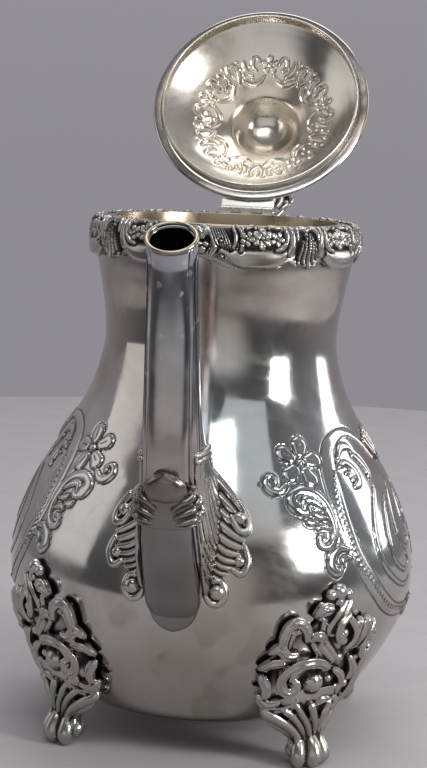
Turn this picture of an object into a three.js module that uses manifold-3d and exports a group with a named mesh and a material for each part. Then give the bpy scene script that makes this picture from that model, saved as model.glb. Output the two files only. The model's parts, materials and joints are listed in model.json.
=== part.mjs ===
// A footed silver-plate coffee pot: pear-shaped vessel, hinged domed lid, front spout and rear handle.
// Units are millimetres and +Z is up. The spout points along -Y and the handle along +Y.
// The lid is built closed, then turned open about its hinge.
import * as THREE from "three";
import { mergeVertices } from "three/addons/utils/BufferGeometryUtils.js";
import Module from "manifold-3d";

const wasm = await Module();
wasm.setup();

// ---------- driving dimensions ----------
const AXIS_Y = -7.6; // the vessel's axis, so that the origin is the centre of the whole footprint
const GAP = 0.3; // clearance between soldered or touching pieces
const WALL = 1.0; // sheet thickness of the vessel
const ROUND = 36; // facets round the vessel

const BASE_Z = 12.6;
const SHELL_TOP_Z = 180;
const BORDER_TOP_Z = 185.4;
const RING_TOP_Z = 186.2;
const RING_INNER_R = 40.2;
const RING_OUTER_R = 41.6;
const BASE_HOLE_R = 43;

const LID_SEAT_Z = RING_TOP_Z + GAP;
const LID_R = 42.6;
const BEZEL_R = 38.8;
const HINGE_Y = 46.7; // the hinge axis, from the vessel's axis
const HINGE_Z = 187.6;
const LID_OPEN_DEG = 120;
const BARREL_R = 1.35;
const PIN_R = 0.6;
const BORE_R = 0.8;
const KNUCKLES = 5;
const KNUCKLE_PITCH = 4.05;
const KNUCKLE_GAP = 0.25;

const FOOT_R = 61.5; // distance of each foot's centre from the vessel's axis
const FOOT_ANGLES = { front_left: -45, front_right: 45, rear_right: 135, rear_left: 225 };

// ---------- solids from three.js geometry ----------
function closedGeometry(geometry) {
  const plain = geometry.index ? geometry.toNonIndexed() : geometry.clone();
  for (const name of ["normal", "uv"]) plain.deleteAttribute(name);
  return mergeVertices(plain, 1e-4);
}

function signedVolume(positions, indices) {
  const corner = [new THREE.Vector3(), new THREE.Vector3(), new THREE.Vector3()];
  let sum = 0;
  for (let i = 0; i < indices.length; i += 3) {
    corner.forEach((v, k) => v.fromArray(positions, indices[i + k] * 3));
    sum += corner[0].dot(corner[1].clone().cross(corner[2]));
  }
  return sum / 6;
}

function solid(geometry) {
  const merged = closedGeometry(geometry);
  const positions = merged.attributes.position.array;
  const triangles = new Uint32Array(merged.index.array);
  if (signedVolume(positions, triangles) < 0) {
    triangles.reverse();
  }
  return new wasm.Manifold(new wasm.Mesh({ numProp: 3, vertProperties: positions, triVerts: triangles }));
}

function geometryOf(manifold) {
  const made = manifold.getMesh();
  return new THREE.BufferGeometry()
    .setAttribute("position", new THREE.BufferAttribute(made.vertProperties, 3))
    .setIndex(new THREE.BufferAttribute(made.triVerts, 1));
}

// Turns an outline of [radius, z] points about the Z axis.
function turned(points, facets = ROUND) {
  const outline = points.map(([r, z]) => new THREE.Vector2(r, z));
  return solid(new THREE.LatheGeometry(outline, facets).rotateX(Math.PI / 2));
}

// A ring: the outline of its cross-section closes on itself.
function turnedRing(points, facets = ROUND) {
  return turned([...points, points[0]], facets);
}

// Skins a list of sections, each a list of Vector3 in the same order, and closes both ends.
function lofted(sections) {
  const sides = sections[0].length;
  const positions = sections.flat().flatMap((p) => p.toArray());
  const indices = [];
  for (let s = 0; s < sections.length - 1; s++) {
    for (let k = 0; k < sides; k++) {
      const a = s * sides + k;
      const b = s * sides + ((k + 1) % sides);
      indices.push(a, b, a + sides, b, b + sides, a + sides);
    }
  }
  [0, sections.length - 1].forEach((s, end) => {
    const centre = sections[s].reduce((sum, p) => sum.add(p), new THREE.Vector3()).divideScalar(sides);
    const apex = positions.length / 3;
    positions.push(...centre.toArray());
    for (let k = 0; k < sides; k++) {
      const pair = [s * sides + k, s * sides + ((k + 1) % sides)];
      if (end === 0) pair.reverse();
      indices.push(apex, ...pair);
    }
  });
  const geometry = new THREE.BufferGeometry();
  geometry.setAttribute("position", new THREE.Float32BufferAttribute(positions, 3));
  geometry.setIndex(indices);
  return solid(geometry);
}

// A tube whose centreline closes on itself, such as a rolled wire round a mouth.
function closedTube(path, radius, sides) {
  const rings = path.map((p, i) => {
    const before = path[(i + path.length - 1) % path.length];
    const after = path[(i + 1) % path.length];
    const along = after.clone().sub(before).normalize();
    const outwards = p.clone().sub(pathCentre(path)).projectOnPlane(along).normalize();
    const up = along.clone().cross(outwards);
    return Array.from({ length: sides }, (_, k) => {
      const turn = (2 * Math.PI * k) / sides;
      return p.clone()
        .addScaledVector(outwards, radius * Math.cos(turn))
        .addScaledVector(up, radius * Math.sin(turn));
    });
  });
  const positions = rings.flat().flatMap((p) => p.toArray());
  const indices = [];
  rings.forEach((_, i) => {
    const next = (i + 1) % rings.length;
    for (let k = 0; k < sides; k++) {
      const l = (k + 1) % sides;
      const [a, b, c, d] = [i * sides + k, i * sides + l, next * sides + k, next * sides + l];
      indices.push(a, b, c, b, d, c);
    }
  });
  const geometry = new THREE.BufferGeometry();
  geometry.setAttribute("position", new THREE.Float32BufferAttribute(positions, 3));
  geometry.setIndex(indices);
  return solid(geometry);
}

function pathCentre(path) {
  return path.reduce((sum, p) => sum.add(p), new THREE.Vector3()).divideScalar(path.length);
}

function box(x0, x1, y0, y1, z0, z1) {
  const geometry = new THREE.BoxGeometry(x1 - x0, y1 - y0, z1 - z0);
  return solid(geometry.translate((x0 + x1) / 2, (y0 + y1) / 2, (z0 + z1) / 2));
}

// A round bar along X.
function barAlongX(radius, x0, x1, y, z, facets = 12) {
  const geometry = new THREE.CylinderGeometry(radius, radius, x1 - x0, facets).rotateZ(Math.PI / 2);
  return solid(geometry.translate((x0 + x1) / 2, y, z));
}

// A side view outline of [y, z] points, pushed through from -halfWidth to halfWidth.
function extrudedSideView(points, halfWidth) {
  const shape = new THREE.Shape(points.map(([y, z]) => new THREE.Vector2(y, z)));
  const geometry = new THREE.ExtrudeGeometry(shape, { depth: 2 * halfWidth, bevelEnabled: false });
  const upright = new THREE.Matrix4().makeBasis(
    new THREE.Vector3(0, 1, 0), new THREE.Vector3(0, 0, 1), new THREE.Vector3(1, 0, 0),
  );
  return solid(geometry.translate(0, 0, -halfWidth).applyMatrix4(upright));
}

// A front view outline of [x, z] points, pushed through from y0 to y1.
function extrudedFrontView(points, y0, y1) {
  const shape = new THREE.Shape(points.map(([x, z]) => new THREE.Vector2(x, z)));
  const geometry = new THREE.ExtrudeGeometry(shape, { depth: y1 - y0, bevelEnabled: false });
  return solid(geometry.rotateX(Math.PI / 2).translate(0, y1, 0));
}

const mirrored = (half) => [...half, ...half.filter(([x]) => x > 0).reverse().map(([x, z]) => [-x, z])];
const flipped = (points) => points.map(([x, z]) => [-x, z]).reverse();

// ---------- the vessel's outline ----------
const VESSEL = new THREE.SplineCurve(
  [
    [47.5, BASE_Z], [52, 15.8], [57.4, 22], [64.2, 32], [70.4, 44], [73.6, 56], [73.3, 68], [70.2, 80],
    [63.2, 95], [54.3, 110], [46.4, 125], [42.4, 140], [42.7, 152], [44.8, 164], [46.5, 173], [47.2, SHELL_TOP_Z],
  ].map(([r, z]) => new THREE.Vector2(r, z)),
);

function vesselOutline(offset, steps = 18) {
  return Array.from({ length: steps + 1 }, (_, i) => {
    const point = VESSEL.getPoint(i / steps);
    const along = VESSEL.getTangent(i / steps);
    return [point.x + along.y * offset, point.y - along.x * offset];
  });
}

// The vessel as a filled solid, grown by an offset, used to trim what is soldered to it.
function vesselFilled(offset) {
  const outline = vesselOutline(offset);
  return turned([[0, BASE_Z - offset], ...outline, [0, SHELL_TOP_Z]]);
}

function bodyShell() {
  const outer = vesselOutline(0);
  const inner = vesselOutline(-WALL, 12).filter(([r, z]) => z > BASE_Z + 2.2).reverse();
  const shell = turnedRing([[BASE_HOLE_R, BASE_Z], ...outer, ...inner, [BASE_HOLE_R, BASE_Z + WALL]]);
  return strainerHoles().reduce((left, hole) => left.subtract(hole), shell);
}

// Small holes pierced through the vessel behind the spout, in staggered rows.
function strainerHoles() {
  const holeRadius = 1.7;
  const holes = [];
  for (let row = 0; row < 5; row++) {
    const across = row % 2 ? [-3, 3] : [-6, 0, 6];
    for (const x of across) {
      const geometry = new THREE.CylinderGeometry(holeRadius, holeRadius, 30, 8);
      holes.push(solid(geometry.translate(x, -62, 78 + 5.4 * row)));
    }
  }
  return holes;
}

function baseDisc() {
  const r = BASE_HOLE_R - GAP;
  return turned([[0, BASE_Z + 0.3], [r, BASE_Z + 0.3], [r, BASE_Z + WALL + 0.1], [0, BASE_Z + WALL + 0.1]]);
}

function mouthRing() {
  return turnedRing([
    [RING_INNER_R, 170], [RING_OUTER_R, 170], [RING_OUTER_R, RING_TOP_Z - 0.5],
    [RING_OUTER_R - 0.4, RING_TOP_Z], [RING_INNER_R, RING_TOP_Z],
  ]);
}

// The cast border wraps over the vessel's lip and hangs a little way down outside it.
function rimBorder() {
  return turnedRing([
    [42, 182.6], [45.5, SHELL_TOP_Z + 0.5], [47.6, SHELL_TOP_Z + 0.5], [47, 173], [46.85, 171.8],
    [48, 171.2], [49, 174.5], [49.3, 178.5], [48.8, 183], [47.3, BORDER_TOP_Z], [42, BORDER_TOP_Z],
  ]);
}

// ---------- spout ----------
// Each station is [front y, front z, back y, back z, half width].
const SPOUT_STATIONS = [
  [-66, 56, -40, 78, 9], [-74.5, 58, -48, 88, 11], [-81, 68, -54, 98, 12], [-87.5, 78, -58, 108, 11.5],
  [-92.5, 90, -64, 117, 10.5], [-96, 104, -72, 126, 9.5], [-98.5, 120, -79, 137, 9], [-100, 136, -84, 149, 8.6],
  [-101.5, 150, -87.5, 161, 8.4], [-103.5, 163, -90, 174, 8.2], [-106, 172.5, -93.5, 184, 8.1],
  [-108, 177, -96.5, 189.5, 8.3],
];
const SPOUT_SIDES = 16;
const SPOUT_WALL = 1.3;
const SQUARENESS = 2.5; // exponent of the sections' superellipse

function spoutSection([frontY, frontZ, backY, backZ, halfWidth], offset) {
  const front = new THREE.Vector3(0, frontY, frontZ);
  const back = new THREE.Vector3(0, backY, backZ);
  const towardsFront = front.clone().sub(back).normalize();
  const centre = front.clone().add(back).multiplyScalar(0.5);
  const halfDepth = front.distanceTo(back) / 2 + offset;
  const bulge = (v) => Math.sign(v) * Math.abs(v) ** (2 / SQUARENESS);
  return Array.from({ length: SPOUT_SIDES }, (_, k) => {
    const turn = (2 * Math.PI * (k + 0.5)) / SPOUT_SIDES;
    const point = centre.clone().addScaledVector(towardsFront, halfDepth * bulge(Math.cos(turn)));
    point.x = (halfWidth + offset) * bulge(Math.sin(turn));
    return point;
  });
}

function spoutFilled(offset) {
  return lofted(SPOUT_STATIONS.map((station) => spoutSection(station, offset)));
}

// The bore runs a little past the mouth, so that the mouth is cut open.
function spoutBore() {
  const last = SPOUT_STATIONS.at(-1);
  const beyond = [last[0] - 2.6, last[1] + 4, last[2] - 2.6, last[3] + 4, last[4]];
  return lofted([...SPOUT_STATIONS, beyond].map((station) => spoutSection(station, -SPOUT_WALL)));
}

function spoutShell() {
  return spoutFilled(0).subtract(spoutBore()).subtract(vesselFilled(GAP));
}

function spoutLip() {
  const mouth = spoutSection(SPOUT_STATIONS.at(-1), -0.3);
  const outwards = new THREE.Vector3(0, -0.74, 0.67);
  const radius = 0.95;
  return closedTube(mouth.map((p) => p.addScaledVector(outwards, radius + GAP + 0.1)), radius, 6);
}

// Thin castings laid over the spout's root: everything within `thickness` of the spout and vessel.
function overlay(outline, innerGap, thickness) {
  const skin = spoutFilled(thickness).add(vesselFilled(thickness));
  const core = spoutFilled(innerGap).add(vesselFilled(innerGap));
  return extrudedFrontView(outline, -125, -50).intersect(skin).subtract(core);
}

const DROP_OUTLINE = [[0, 51], [5.5, 52.5], [9.2, 57], [10.2, 64], [9.4, 74], [8.4, 84], [7.8, 96], [0, 98]];
const CLASP_OUTLINE = [
  [0, 91.5], [7, 92], [10.5, 94.5], [11.2, 98], [9.6, 101.5], [8.6, 105.5], [5.2, 108.2], [0, 109.6],
];
const WING_OUTLINE = [
  [8.4, 98], [8.9, 85], [10, 74], [10.8, 65], [13, 61.5], [18, 62.5], [20.5, 67.5], [22.8, 73.5], [21.6, 79.5],
  [23.8, 87], [20.5, 94.5], [15, 101.5], [11.8, 108], [10.2, 115.5], [8.6, 115.5],
];

const spoutDrop = () => largest(overlay(mirrored(DROP_OUTLINE), GAP, 1.6));
const spoutClasp = () => largest(overlay(mirrored(CLASP_OUTLINE), 2.6, 3.9));
// From the side, a wing's upper edge falls from the collar on the spout's front to the vessel.
const WING_SIDE_OUTLINE = [[-110, 55], [-50, 55], [-50, 93], [-62, 99], [-76, 106], [-88, 115.5], [-110, 115.5]];

function spoutWing(side) {
  const outline = side < 0 ? flipped(WING_OUTLINE) : WING_OUTLINE;
  return largest(overlay(outline, GAP, 2.2).intersect(extrudedSideView(WING_SIDE_OUTLINE, 40)));
}

function largest(manifold) {
  return manifold.decompose().sort((a, b) => b.volume() - a.volume())[0];
}

// ---------- feet ----------
const LEAF_OUTLINE = [
  [0, 14], [8, 15], [13, 20], [19, 25], [20.5, 31], [18, 38], [18.6, 45], [15, 51], [9, 54.5], [6, 60], [3.6, 65], [0, 66.5],
];
// Each level is [z, distance from the vessel's axis, half depth, half width].
const FOOT_LEVELS = [
  [0, FOOT_R, 4.6, 5], [1.2, FOOT_R + 0.4, 6.4, 6.6], [4, FOOT_R + 0.2, 6.8, 7], [7.5, FOOT_R - 1.4, 5.4, 6],
  [11.5, FOOT_R - 2.8, 4.2, 5], [16, FOOT_R - 2.6, 4.6, 7], [22, FOOT_R, 5.4, 10.5], [29, FOOT_R + 3, 5.4, 12.5],
];

// A foot under the vessel's front; the others are this one turned about the vessel's axis.
function foot(angleDeg) {
  const leaf = extrudedFrontView(mirrored(LEAF_OUTLINE), -90, -30).intersect(vesselFilled(3.8));
  const leg = lofted(
    FOOT_LEVELS.map(([z, away, halfDepth, halfWidth]) =>
      Array.from({ length: 16 }, (_, k) => {
        const turn = (2 * Math.PI * k) / 16;
        return new THREE.Vector3(halfWidth * Math.cos(turn), -away + halfDepth * Math.sin(turn), z);
      }),
    ),
  );
  return leaf.add(leg).subtract(vesselFilled(GAP)).rotate([0, 0, angleDeg]);
}

// ---------- handle ----------
const HANDLE = new THREE.CatmullRomCurve3(
  [
    [44, 160], [52, 164.5], [60, 172.5], [69, 179.8], [80, 184], [93, 183.5], [106, 177], [115.5, 164.5], [119.5, 148],
    [118, 129], [111.5, 112], [101, 98.5], [88.5, 90], [76, 86], [64, 84],
  ].map(([y, z]) => new THREE.Vector3(0, y, z)),
);
const HANDLE_SIDES = 12;
const UPPER_JOINT = 0.2; // where along the handle each insulator's middle lies, from 0 to 1
const LOWER_JOINT = 0.835;
const DISC_HALF = 0.008;
const TENON_HALF = 0.034;
const TENON_R = 2.9;
const HANDLE_PIN_R = 0.9;
const PIN_FROM_JOINT = 0.022;

const handleHalfWidth = (t) => 5.6 + 1.6 * Math.sin(Math.PI * t) ** 2;
const handleHalfDepth = (t) => 4.6 + 0.6 * Math.sin(Math.PI * t) ** 2;

function handleSection(t, halfWidth, halfDepth) {
  const centre = HANDLE.getPointAt(t);
  const along = HANDLE.getTangentAt(t);
  const outwards = new THREE.Vector3(0, -along.z, along.y);
  return Array.from({ length: HANDLE_SIDES }, (_, k) => {
    const turn = (2 * Math.PI * k) / HANDLE_SIDES;
    const point = centre.clone().addScaledVector(outwards, halfDepth * Math.sin(turn));
    point.x = halfWidth * Math.cos(turn);
    return point;
  });
}

function handleStretch(from, to, steps, grow = 0) {
  return lofted(
    Array.from({ length: steps + 1 }, (_, i) => {
      const t = from + ((to - from) * i) / steps;
      return handleSection(t, handleHalfWidth(t) + grow, handleHalfDepth(t) + grow);
    }),
  );
}

function tenon(joint, halfLength, radius) {
  const steps = 4;
  return lofted(
    Array.from({ length: steps + 1 }, (_, i) =>
      handleSection(joint - halfLength + (2 * halfLength * i) / steps, radius, radius),
    ),
  );
}

const pinPoint = (t) => HANDLE.getPointAt(t);
const pinHalfLength = (t) => handleHalfWidth(t) + 0.5;
const PIN_SPOTS = {
  socket_upper: UPPER_JOINT - PIN_FROM_JOINT,
  grip_upper: UPPER_JOINT + PIN_FROM_JOINT,
  grip_lower: LOWER_JOINT - PIN_FROM_JOINT,
  socket_lower: LOWER_JOINT + PIN_FROM_JOINT,
};

function handlePin(t, grow = 0) {
  const half = pinHalfLength(t) + (grow ? 5 : 0);
  const at = pinPoint(t);
  return barAlongX(HANDLE_PIN_R + grow, -half, half, at.y, at.z, 8);
}

// Takes the pins' cross holes out of a piece of the handle.
function drilled(piece, ...spots) {
  return spots.reduce((left, spot) => left.subtract(handlePin(PIN_SPOTS[spot], 0.25)), piece);
}

// Each piece ends at the insulator's disc and has a socket for its tenon.
function handlePieces() {
  const between = DISC_HALF + 0.0012;
  const upperSocket = tenon(UPPER_JOINT, TENON_HALF + 0.003, TENON_R + GAP);
  const lowerSocket = tenon(LOWER_JOINT, TENON_HALF + 0.003, TENON_R + GAP);
  const flareUpper = lofted([
    handleSection(0.0, 9, 8), handleSection(0.055, 7.2, 6.4), handleSection(0.11, 5.8, 5),
  ]);
  const flareLower = lofted([
    handleSection(0.9, 5.8, 5), handleSection(0.95, 7.4, 7), handleSection(1.0, 9.5, 9.5),
  ]);
  const vessel = vesselFilled(GAP);
  return {
    handle_socket_upper: drilled(
      handleStretch(0.02, UPPER_JOINT - between, 6).add(flareUpper).subtract(vessel).subtract(upperSocket),
      "socket_upper",
    ),
    handle_grip: drilled(
      handleStretch(UPPER_JOINT + between, LOWER_JOINT - between, 17).subtract(upperSocket).subtract(lowerSocket),
      "grip_upper",
      "grip_lower",
    ),
    handle_socket_lower: drilled(
      handleStretch(LOWER_JOINT + between, 0.98, 5).add(flareLower).subtract(vessel).subtract(lowerSocket),
      "socket_lower",
    ),
    insulator_upper: drilled(insulator(UPPER_JOINT), "socket_upper", "grip_upper"),
    insulator_lower: drilled(insulator(LOWER_JOINT), "grip_lower", "socket_lower"),
  };
}

function insulator(joint) {
  const disc = handleStretch(joint - DISC_HALF, joint + DISC_HALF, 1, 0.7);
  return disc.add(tenon(joint, TENON_HALF, TENON_R));
}

// A cupped leaf for the thumb, standing on the grip's crown with its hollow side forwards.
const THUMB_LEAF = [
  [85, 182, 5, 0.4], [89, 187.4, 7, 0.6], [93, 189.6, 10.2, 1.4], [96.4, 191.6, 11.6, 2.4], [97.6, 194, 9.4, 2],
  [96.6, 195.6, 5, 1],
]; // each station is [y, z, half width, how far its edges curl forwards]

function thumbLeaf() {
  const halfThickness = 0.9;
  const leaf = lofted(
    THUMB_LEAF.map(([y, z, halfWidth, curl]) =>
      Array.from({ length: 14 }, (_, k) => {
        const turn = (2 * Math.PI * k) / 14;
        const across = Math.cos(turn);
        const forwards = curl * across ** 2;
        const proud = halfThickness * Math.sin(turn);
        return new THREE.Vector3(halfWidth * across, y - forwards - proud * 0.5, z + proud * 0.86);
      }),
    ),
  );
  const stem = box(-3, 3, 84, 95, 180, 189);
  return leaf.add(stem).subtract(handleStretch(UPPER_JOINT, LOWER_JOINT, 17, GAP));
}

// ---------- hinge ----------
const knuckleStart = (i) => (i - KNUCKLES / 2) * KNUCKLE_PITCH + KNUCKLE_GAP / 2;
const knuckleEnd = (i) => knuckleStart(i) + KNUCKLE_PITCH - KNUCKLE_GAP;
const HINGE_HALF_WIDTH = (KNUCKLES * KNUCKLE_PITCH) / 2;

function knuckle(i) {
  return barAlongX(BARREL_R, knuckleStart(i), knuckleEnd(i), HINGE_Y, HINGE_Z);
}

// The odd knuckles stand on a plate soldered to the border.
function hingeLeafBody() {
  const [under, over] = [BORDER_TOP_Z + GAP, BORDER_TOP_Z + GAP + 0.5];
  let leaf = box(-HINGE_HALF_WIDTH, HINGE_HALF_WIDTH, HINGE_Y - 3.2, HINGE_Y + 1.4, under, over);
  for (let i = 0; i < KNUCKLES; i += 2) {
    const web = box(knuckleStart(i), knuckleEnd(i), HINGE_Y - 1, HINGE_Y + 1.2, under, HINGE_Z);
    leaf = leaf.add(web).add(knuckle(i));
  }
  return leaf.subtract(barAlongX(BORE_R, -20, 20, HINGE_Y, HINGE_Z));
}

// The even knuckles hang from a strip that reaches from the barrel to the lid's edge.
function hingeLeafLid() {
  const [under, over] = [HINGE_Z + 0.75, HINGE_Z + 1.65];
  let leaf = box(-HINGE_HALF_WIDTH, HINGE_HALF_WIDTH, 41.7, HINGE_Y - BARREL_R - 0.35, under, over);
  for (let i = 1; i < KNUCKLES; i += 2) {
    const web = box(knuckleStart(i), knuckleEnd(i), 43, HINGE_Y, under - 0.1, over - 0.1);
    leaf = leaf.add(web).add(knuckle(i));
  }
  return leaf.subtract(barAlongX(BORE_R, -20, 20, HINGE_Y, HINGE_Z));
}

const hingePin = () => barAlongX(PIN_R, -HINGE_HALF_WIDTH - 0.4, HINGE_HALF_WIDTH + 0.4, HINGE_Y, HINGE_Z, 10);

// ---------- lid, built closed ----------
// The dome's outer line as [radius, height above the seat].
const DOME = [
  [40.8, 0.8], [38.6, 1.4], [36.2, 4.6], [31, 8.6], [24, 12], [17.5, 14.4], [13.4, 16], [12, 18.4], [10.6, 21.6],
  [7.6, 24.4], [3.6, 26],
];

function lidDome() {
  const sheet = 0.9;
  const apex = LID_SEAT_Z + 26.3;
  const outer = DOME.map(([r, h]) => [r + (h > 3 ? 0.5 : 0), LID_SEAT_Z + h + 0.8 * sheet]);
  const inner = DOME.map(([r, h]) => [r - (h > 3 ? 0.2 : 0), LID_SEAT_Z + h]).reverse();
  return turned([[0, apex], ...inner, ...outer, [0, apex + sheet]]);
}

// The rounded wire that finishes the lid's edge, under the dome's margin.
function lidEdge() {
  const z = LID_SEAT_Z;
  return turnedRing([
    [39.4, z], [LID_R - 0.5, z], [LID_R, z + 0.5], [LID_R, z + 1.1], [41.6, z + 1.6], [41.2, z + 0.5], [39.4, z + 0.5],
  ]);
}

function lidBezel() {
  const z = LID_SEAT_Z;
  return turnedRing([
    [BEZEL_R - 0.9, z - 3.6], [BEZEL_R - 0.2, z - 3.6], [BEZEL_R, z - 3], [BEZEL_R, z + 0.7], [BEZEL_R - 0.9, z + 0.7],
  ]);
}

function finialCollar() {
  const z = LID_SEAT_Z + 27.5;
  return turned([[0, z], [5.2, z], [5.6, z + 0.8], [4.4, z + 1.8], [2.6, z + 3], [2.4, z + 4.4], [0, z + 4.4]], 20);
}

function finialBud() {
  const z = LID_SEAT_Z + 32.2;
  return turned(
    [[0, z], [3, z], [5.4, z + 2], [6.4, z + 5.5], [5.6, z + 9], [3.2, z + 12.2], [1.2, z + 14.2], [0, z + 14.8]],
    20,
  );
}

// ---------- materials ----------
const silver = new THREE.MeshStandardMaterial({ color: 0xb9b6b0, metalness: 1, roughness: 0.18 });
const castSilver = new THREE.MeshStandardMaterial({ color: 0x8f8b86, metalness: 1, roughness: 0.3 });
const brightSilver = new THREE.MeshStandardMaterial({ color: 0xd8d2c4, metalness: 1, roughness: 0.12 });
const bone = new THREE.MeshStandardMaterial({ color: 0xd9c79a, metalness: 0, roughness: 0.45 });

// ---------- assembly ----------
const pot = new THREE.Group();
pot.position.y = AXIS_Y;

function addPiece(group, name, manifold, material) {
  const mesh = new THREE.Mesh(geometryOf(manifold), material);
  mesh.name = name;
  group.add(mesh);
}

addPiece(pot, "body_shell", bodyShell(), silver);
addPiece(pot, "base_disc", baseDisc(), silver);
addPiece(pot, "mouth_ring", mouthRing(), brightSilver);
addPiece(pot, "rim_border", rimBorder(), castSilver);
addPiece(pot, "spout_shell", spoutShell(), silver);
addPiece(pot, "spout_lip", spoutLip(), silver);
addPiece(pot, "spout_drop", spoutDrop(), silver);
addPiece(pot, "spout_clasp", spoutClasp(), castSilver);
addPiece(pot, "spout_wing_left", spoutWing(-1), castSilver);
addPiece(pot, "spout_wing_right", spoutWing(1), castSilver);
for (const [place, angle] of Object.entries(FOOT_ANGLES)) {
  addPiece(pot, `foot_${place}`, foot(angle), castSilver);
}
for (const [name, piece] of Object.entries(handlePieces())) {
  addPiece(pot, name, piece, name.startsWith("insulator") ? bone : silver);
}
addPiece(pot, "thumb_leaf", thumbLeaf(), castSilver);
for (const [spot, t] of Object.entries(PIN_SPOTS)) {
  addPiece(pot, `insulator_pin_${spot}`, handlePin(t), silver);
}
addPiece(pot, "hinge_leaf_body", hingeLeafBody(), brightSilver);
addPiece(pot, "hinge_pin", hingePin(), brightSilver);

// The lid's pieces hang from the hinge axis, so that turning this group opens the lid.
const lid = new THREE.Group();
lid.position.set(0, HINGE_Y, HINGE_Z);
lid.rotation.x = -THREE.MathUtils.degToRad(LID_OPEN_DEG);
pot.add(lid);

const lidPieces = {
  lid_dome: [lidDome(), brightSilver],
  lid_edge: [lidEdge(), brightSilver],
  lid_bezel: [lidBezel(), brightSilver],
  finial_collar: [finialCollar(), castSilver],
  finial_bud: [finialBud(), castSilver],
  hinge_leaf_lid: [hingeLeafLid(), brightSilver],
};
for (const [name, [piece, material]] of Object.entries(lidPieces)) {
  addPiece(lid, name, piece.translate([0, -HINGE_Y, -HINGE_Z]), material);
}

const part = new THREE.Group();
part.add(pot);
export default part;
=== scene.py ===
"""The visual model of a footed silver coffee pot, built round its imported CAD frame.

Shapes are worked out in millimetres about the vessel's own axis, with the spout along -Y, and turned
into metres in the row frame when a mesh is made. An angle round the vessel is in degrees from the spout,
positive towards +X.
"""

import json
import math

import bmesh
import bpy
import numpy as np
from mathutils import Matrix, Vector
from mathutils.bvhtree import BVHTree


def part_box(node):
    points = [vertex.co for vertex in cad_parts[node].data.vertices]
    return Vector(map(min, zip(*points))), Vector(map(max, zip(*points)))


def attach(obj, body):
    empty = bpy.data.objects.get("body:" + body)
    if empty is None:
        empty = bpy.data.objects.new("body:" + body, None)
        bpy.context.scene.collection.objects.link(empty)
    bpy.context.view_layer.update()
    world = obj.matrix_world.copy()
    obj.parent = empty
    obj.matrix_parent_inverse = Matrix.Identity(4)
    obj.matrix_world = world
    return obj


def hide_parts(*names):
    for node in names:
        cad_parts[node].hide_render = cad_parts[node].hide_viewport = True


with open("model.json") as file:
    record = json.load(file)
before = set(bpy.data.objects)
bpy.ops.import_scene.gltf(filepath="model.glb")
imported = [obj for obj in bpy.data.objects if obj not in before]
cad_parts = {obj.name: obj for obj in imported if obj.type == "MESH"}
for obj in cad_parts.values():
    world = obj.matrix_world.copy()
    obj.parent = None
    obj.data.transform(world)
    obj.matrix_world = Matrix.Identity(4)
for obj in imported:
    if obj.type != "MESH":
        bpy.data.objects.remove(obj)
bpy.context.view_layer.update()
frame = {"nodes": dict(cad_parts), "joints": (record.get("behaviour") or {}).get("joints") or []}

MM = 0.001
low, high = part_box("body_shell")
AXIS_Y = (low.y + high.y) / 2 / MM  # the vessel's axis in the row frame
LID_OPEN = math.radians(frame["joints"][0]["range_deg"][1])


# ---------------------------------------------------------------- curves and meshes


def spline(points, steps=16):
    """A smooth curve through points of any dimension, with the given steps between two points."""
    p = np.asarray(points, float)
    ends = np.vstack([p[:1], p, p[-1:]])
    t = np.linspace(0, 1, steps, endpoint=False)[:, None]
    pieces = []
    for i in range(len(p) - 1):
        p0, p1, p2, p3 = ends[i : i + 4]
        v0, v1 = (p2 - p0) / 2, (p3 - p1) / 2
        cubic, square = 2 * p1 - 2 * p2 + v0 + v1, 3 * p2 - 3 * p1 - 2 * v0 - v1
        pieces.append(cubic * t**3 + square * t**2 + v0 * t + p1)
    return np.vstack(pieces + [p[-1:]])


def resampled(path, count, closed=False):
    """The path with evenly spaced points, measured along its first three numbers or fewer."""
    path = np.asarray(path, float)
    if closed:
        path = np.vstack([path, path[:1]])
    steps = np.linalg.norm(np.diff(path[:, :3], axis=0), axis=1)
    along = np.concatenate([[0], np.cumsum(steps)])
    wanted = np.linspace(0, along[-1], count, endpoint=not closed)
    return np.stack([np.interp(wanted, along, path[:, k]) for k in range(path.shape[1])], -1)


def unit(v):
    return v / np.maximum(np.linalg.norm(v, axis=-1, keepdims=True), 1e-9)


def bump_of(x, width):
    """1 at x = 0, falling smoothly to nothing a few widths away."""
    return np.exp(-((x / width) ** 2))


def change(x, xs, ys, step=0.3):
    """How much a sampled curve changes from one step before x to one step after it."""
    return np.interp(x + step, xs, ys) - np.interp(x - step, xs, ys)


def about_axis(radius, turn, z):
    """Points round the vessel's axis; turn is in radians from the spout."""
    radius, turn, z = np.broadcast_arrays(radius, turn, z)
    return np.stack([radius * np.sin(turn), -radius * np.cos(turn), z], -1)


def new_object(name, points, faces, **attributes):
    """A smooth-shaded mesh from points in millimetres about the vessel's axis."""
    mesh = bpy.data.meshes.new(name)
    shifted = np.asarray(points, float) + (0, AXIS_Y, 0)
    mesh.from_pydata((shifted * MM).tolist(), [], [list(map(int, f)) for f in faces])
    mesh.validate()
    for key, values in attributes.items():
        made = mesh.attributes.new(key, "FLOAT", "POINT")
        made.data.foreach_set("value", np.asarray(values, np.float32).ravel())
    mesh.polygons.foreach_set("use_smooth", np.ones(len(mesh.polygons), bool))
    mesh.update()
    obj = bpy.data.objects.new(name, mesh)
    bpy.context.scene.collection.objects.link(obj)
    return obj


def grid_faces(rows, cols, wrap_cols=False, wrap_rows=False, flip=False, start=0):
    """Quads between rows of points; each row has cols points."""
    r = np.arange(rows if wrap_rows else rows - 1)
    c = np.arange(cols if wrap_cols else cols - 1)
    r, c = np.meshgrid(r, c, indexing="ij")
    nr, nc = (r + 1) % rows, (c + 1) % cols
    corners = [r * cols + c, r * cols + nc, nr * cols + nc, nr * cols + c]
    quads = np.stack(corners, -1).reshape(-1, 4) + start
    return quads[:, ::-1] if flip else quads


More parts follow.
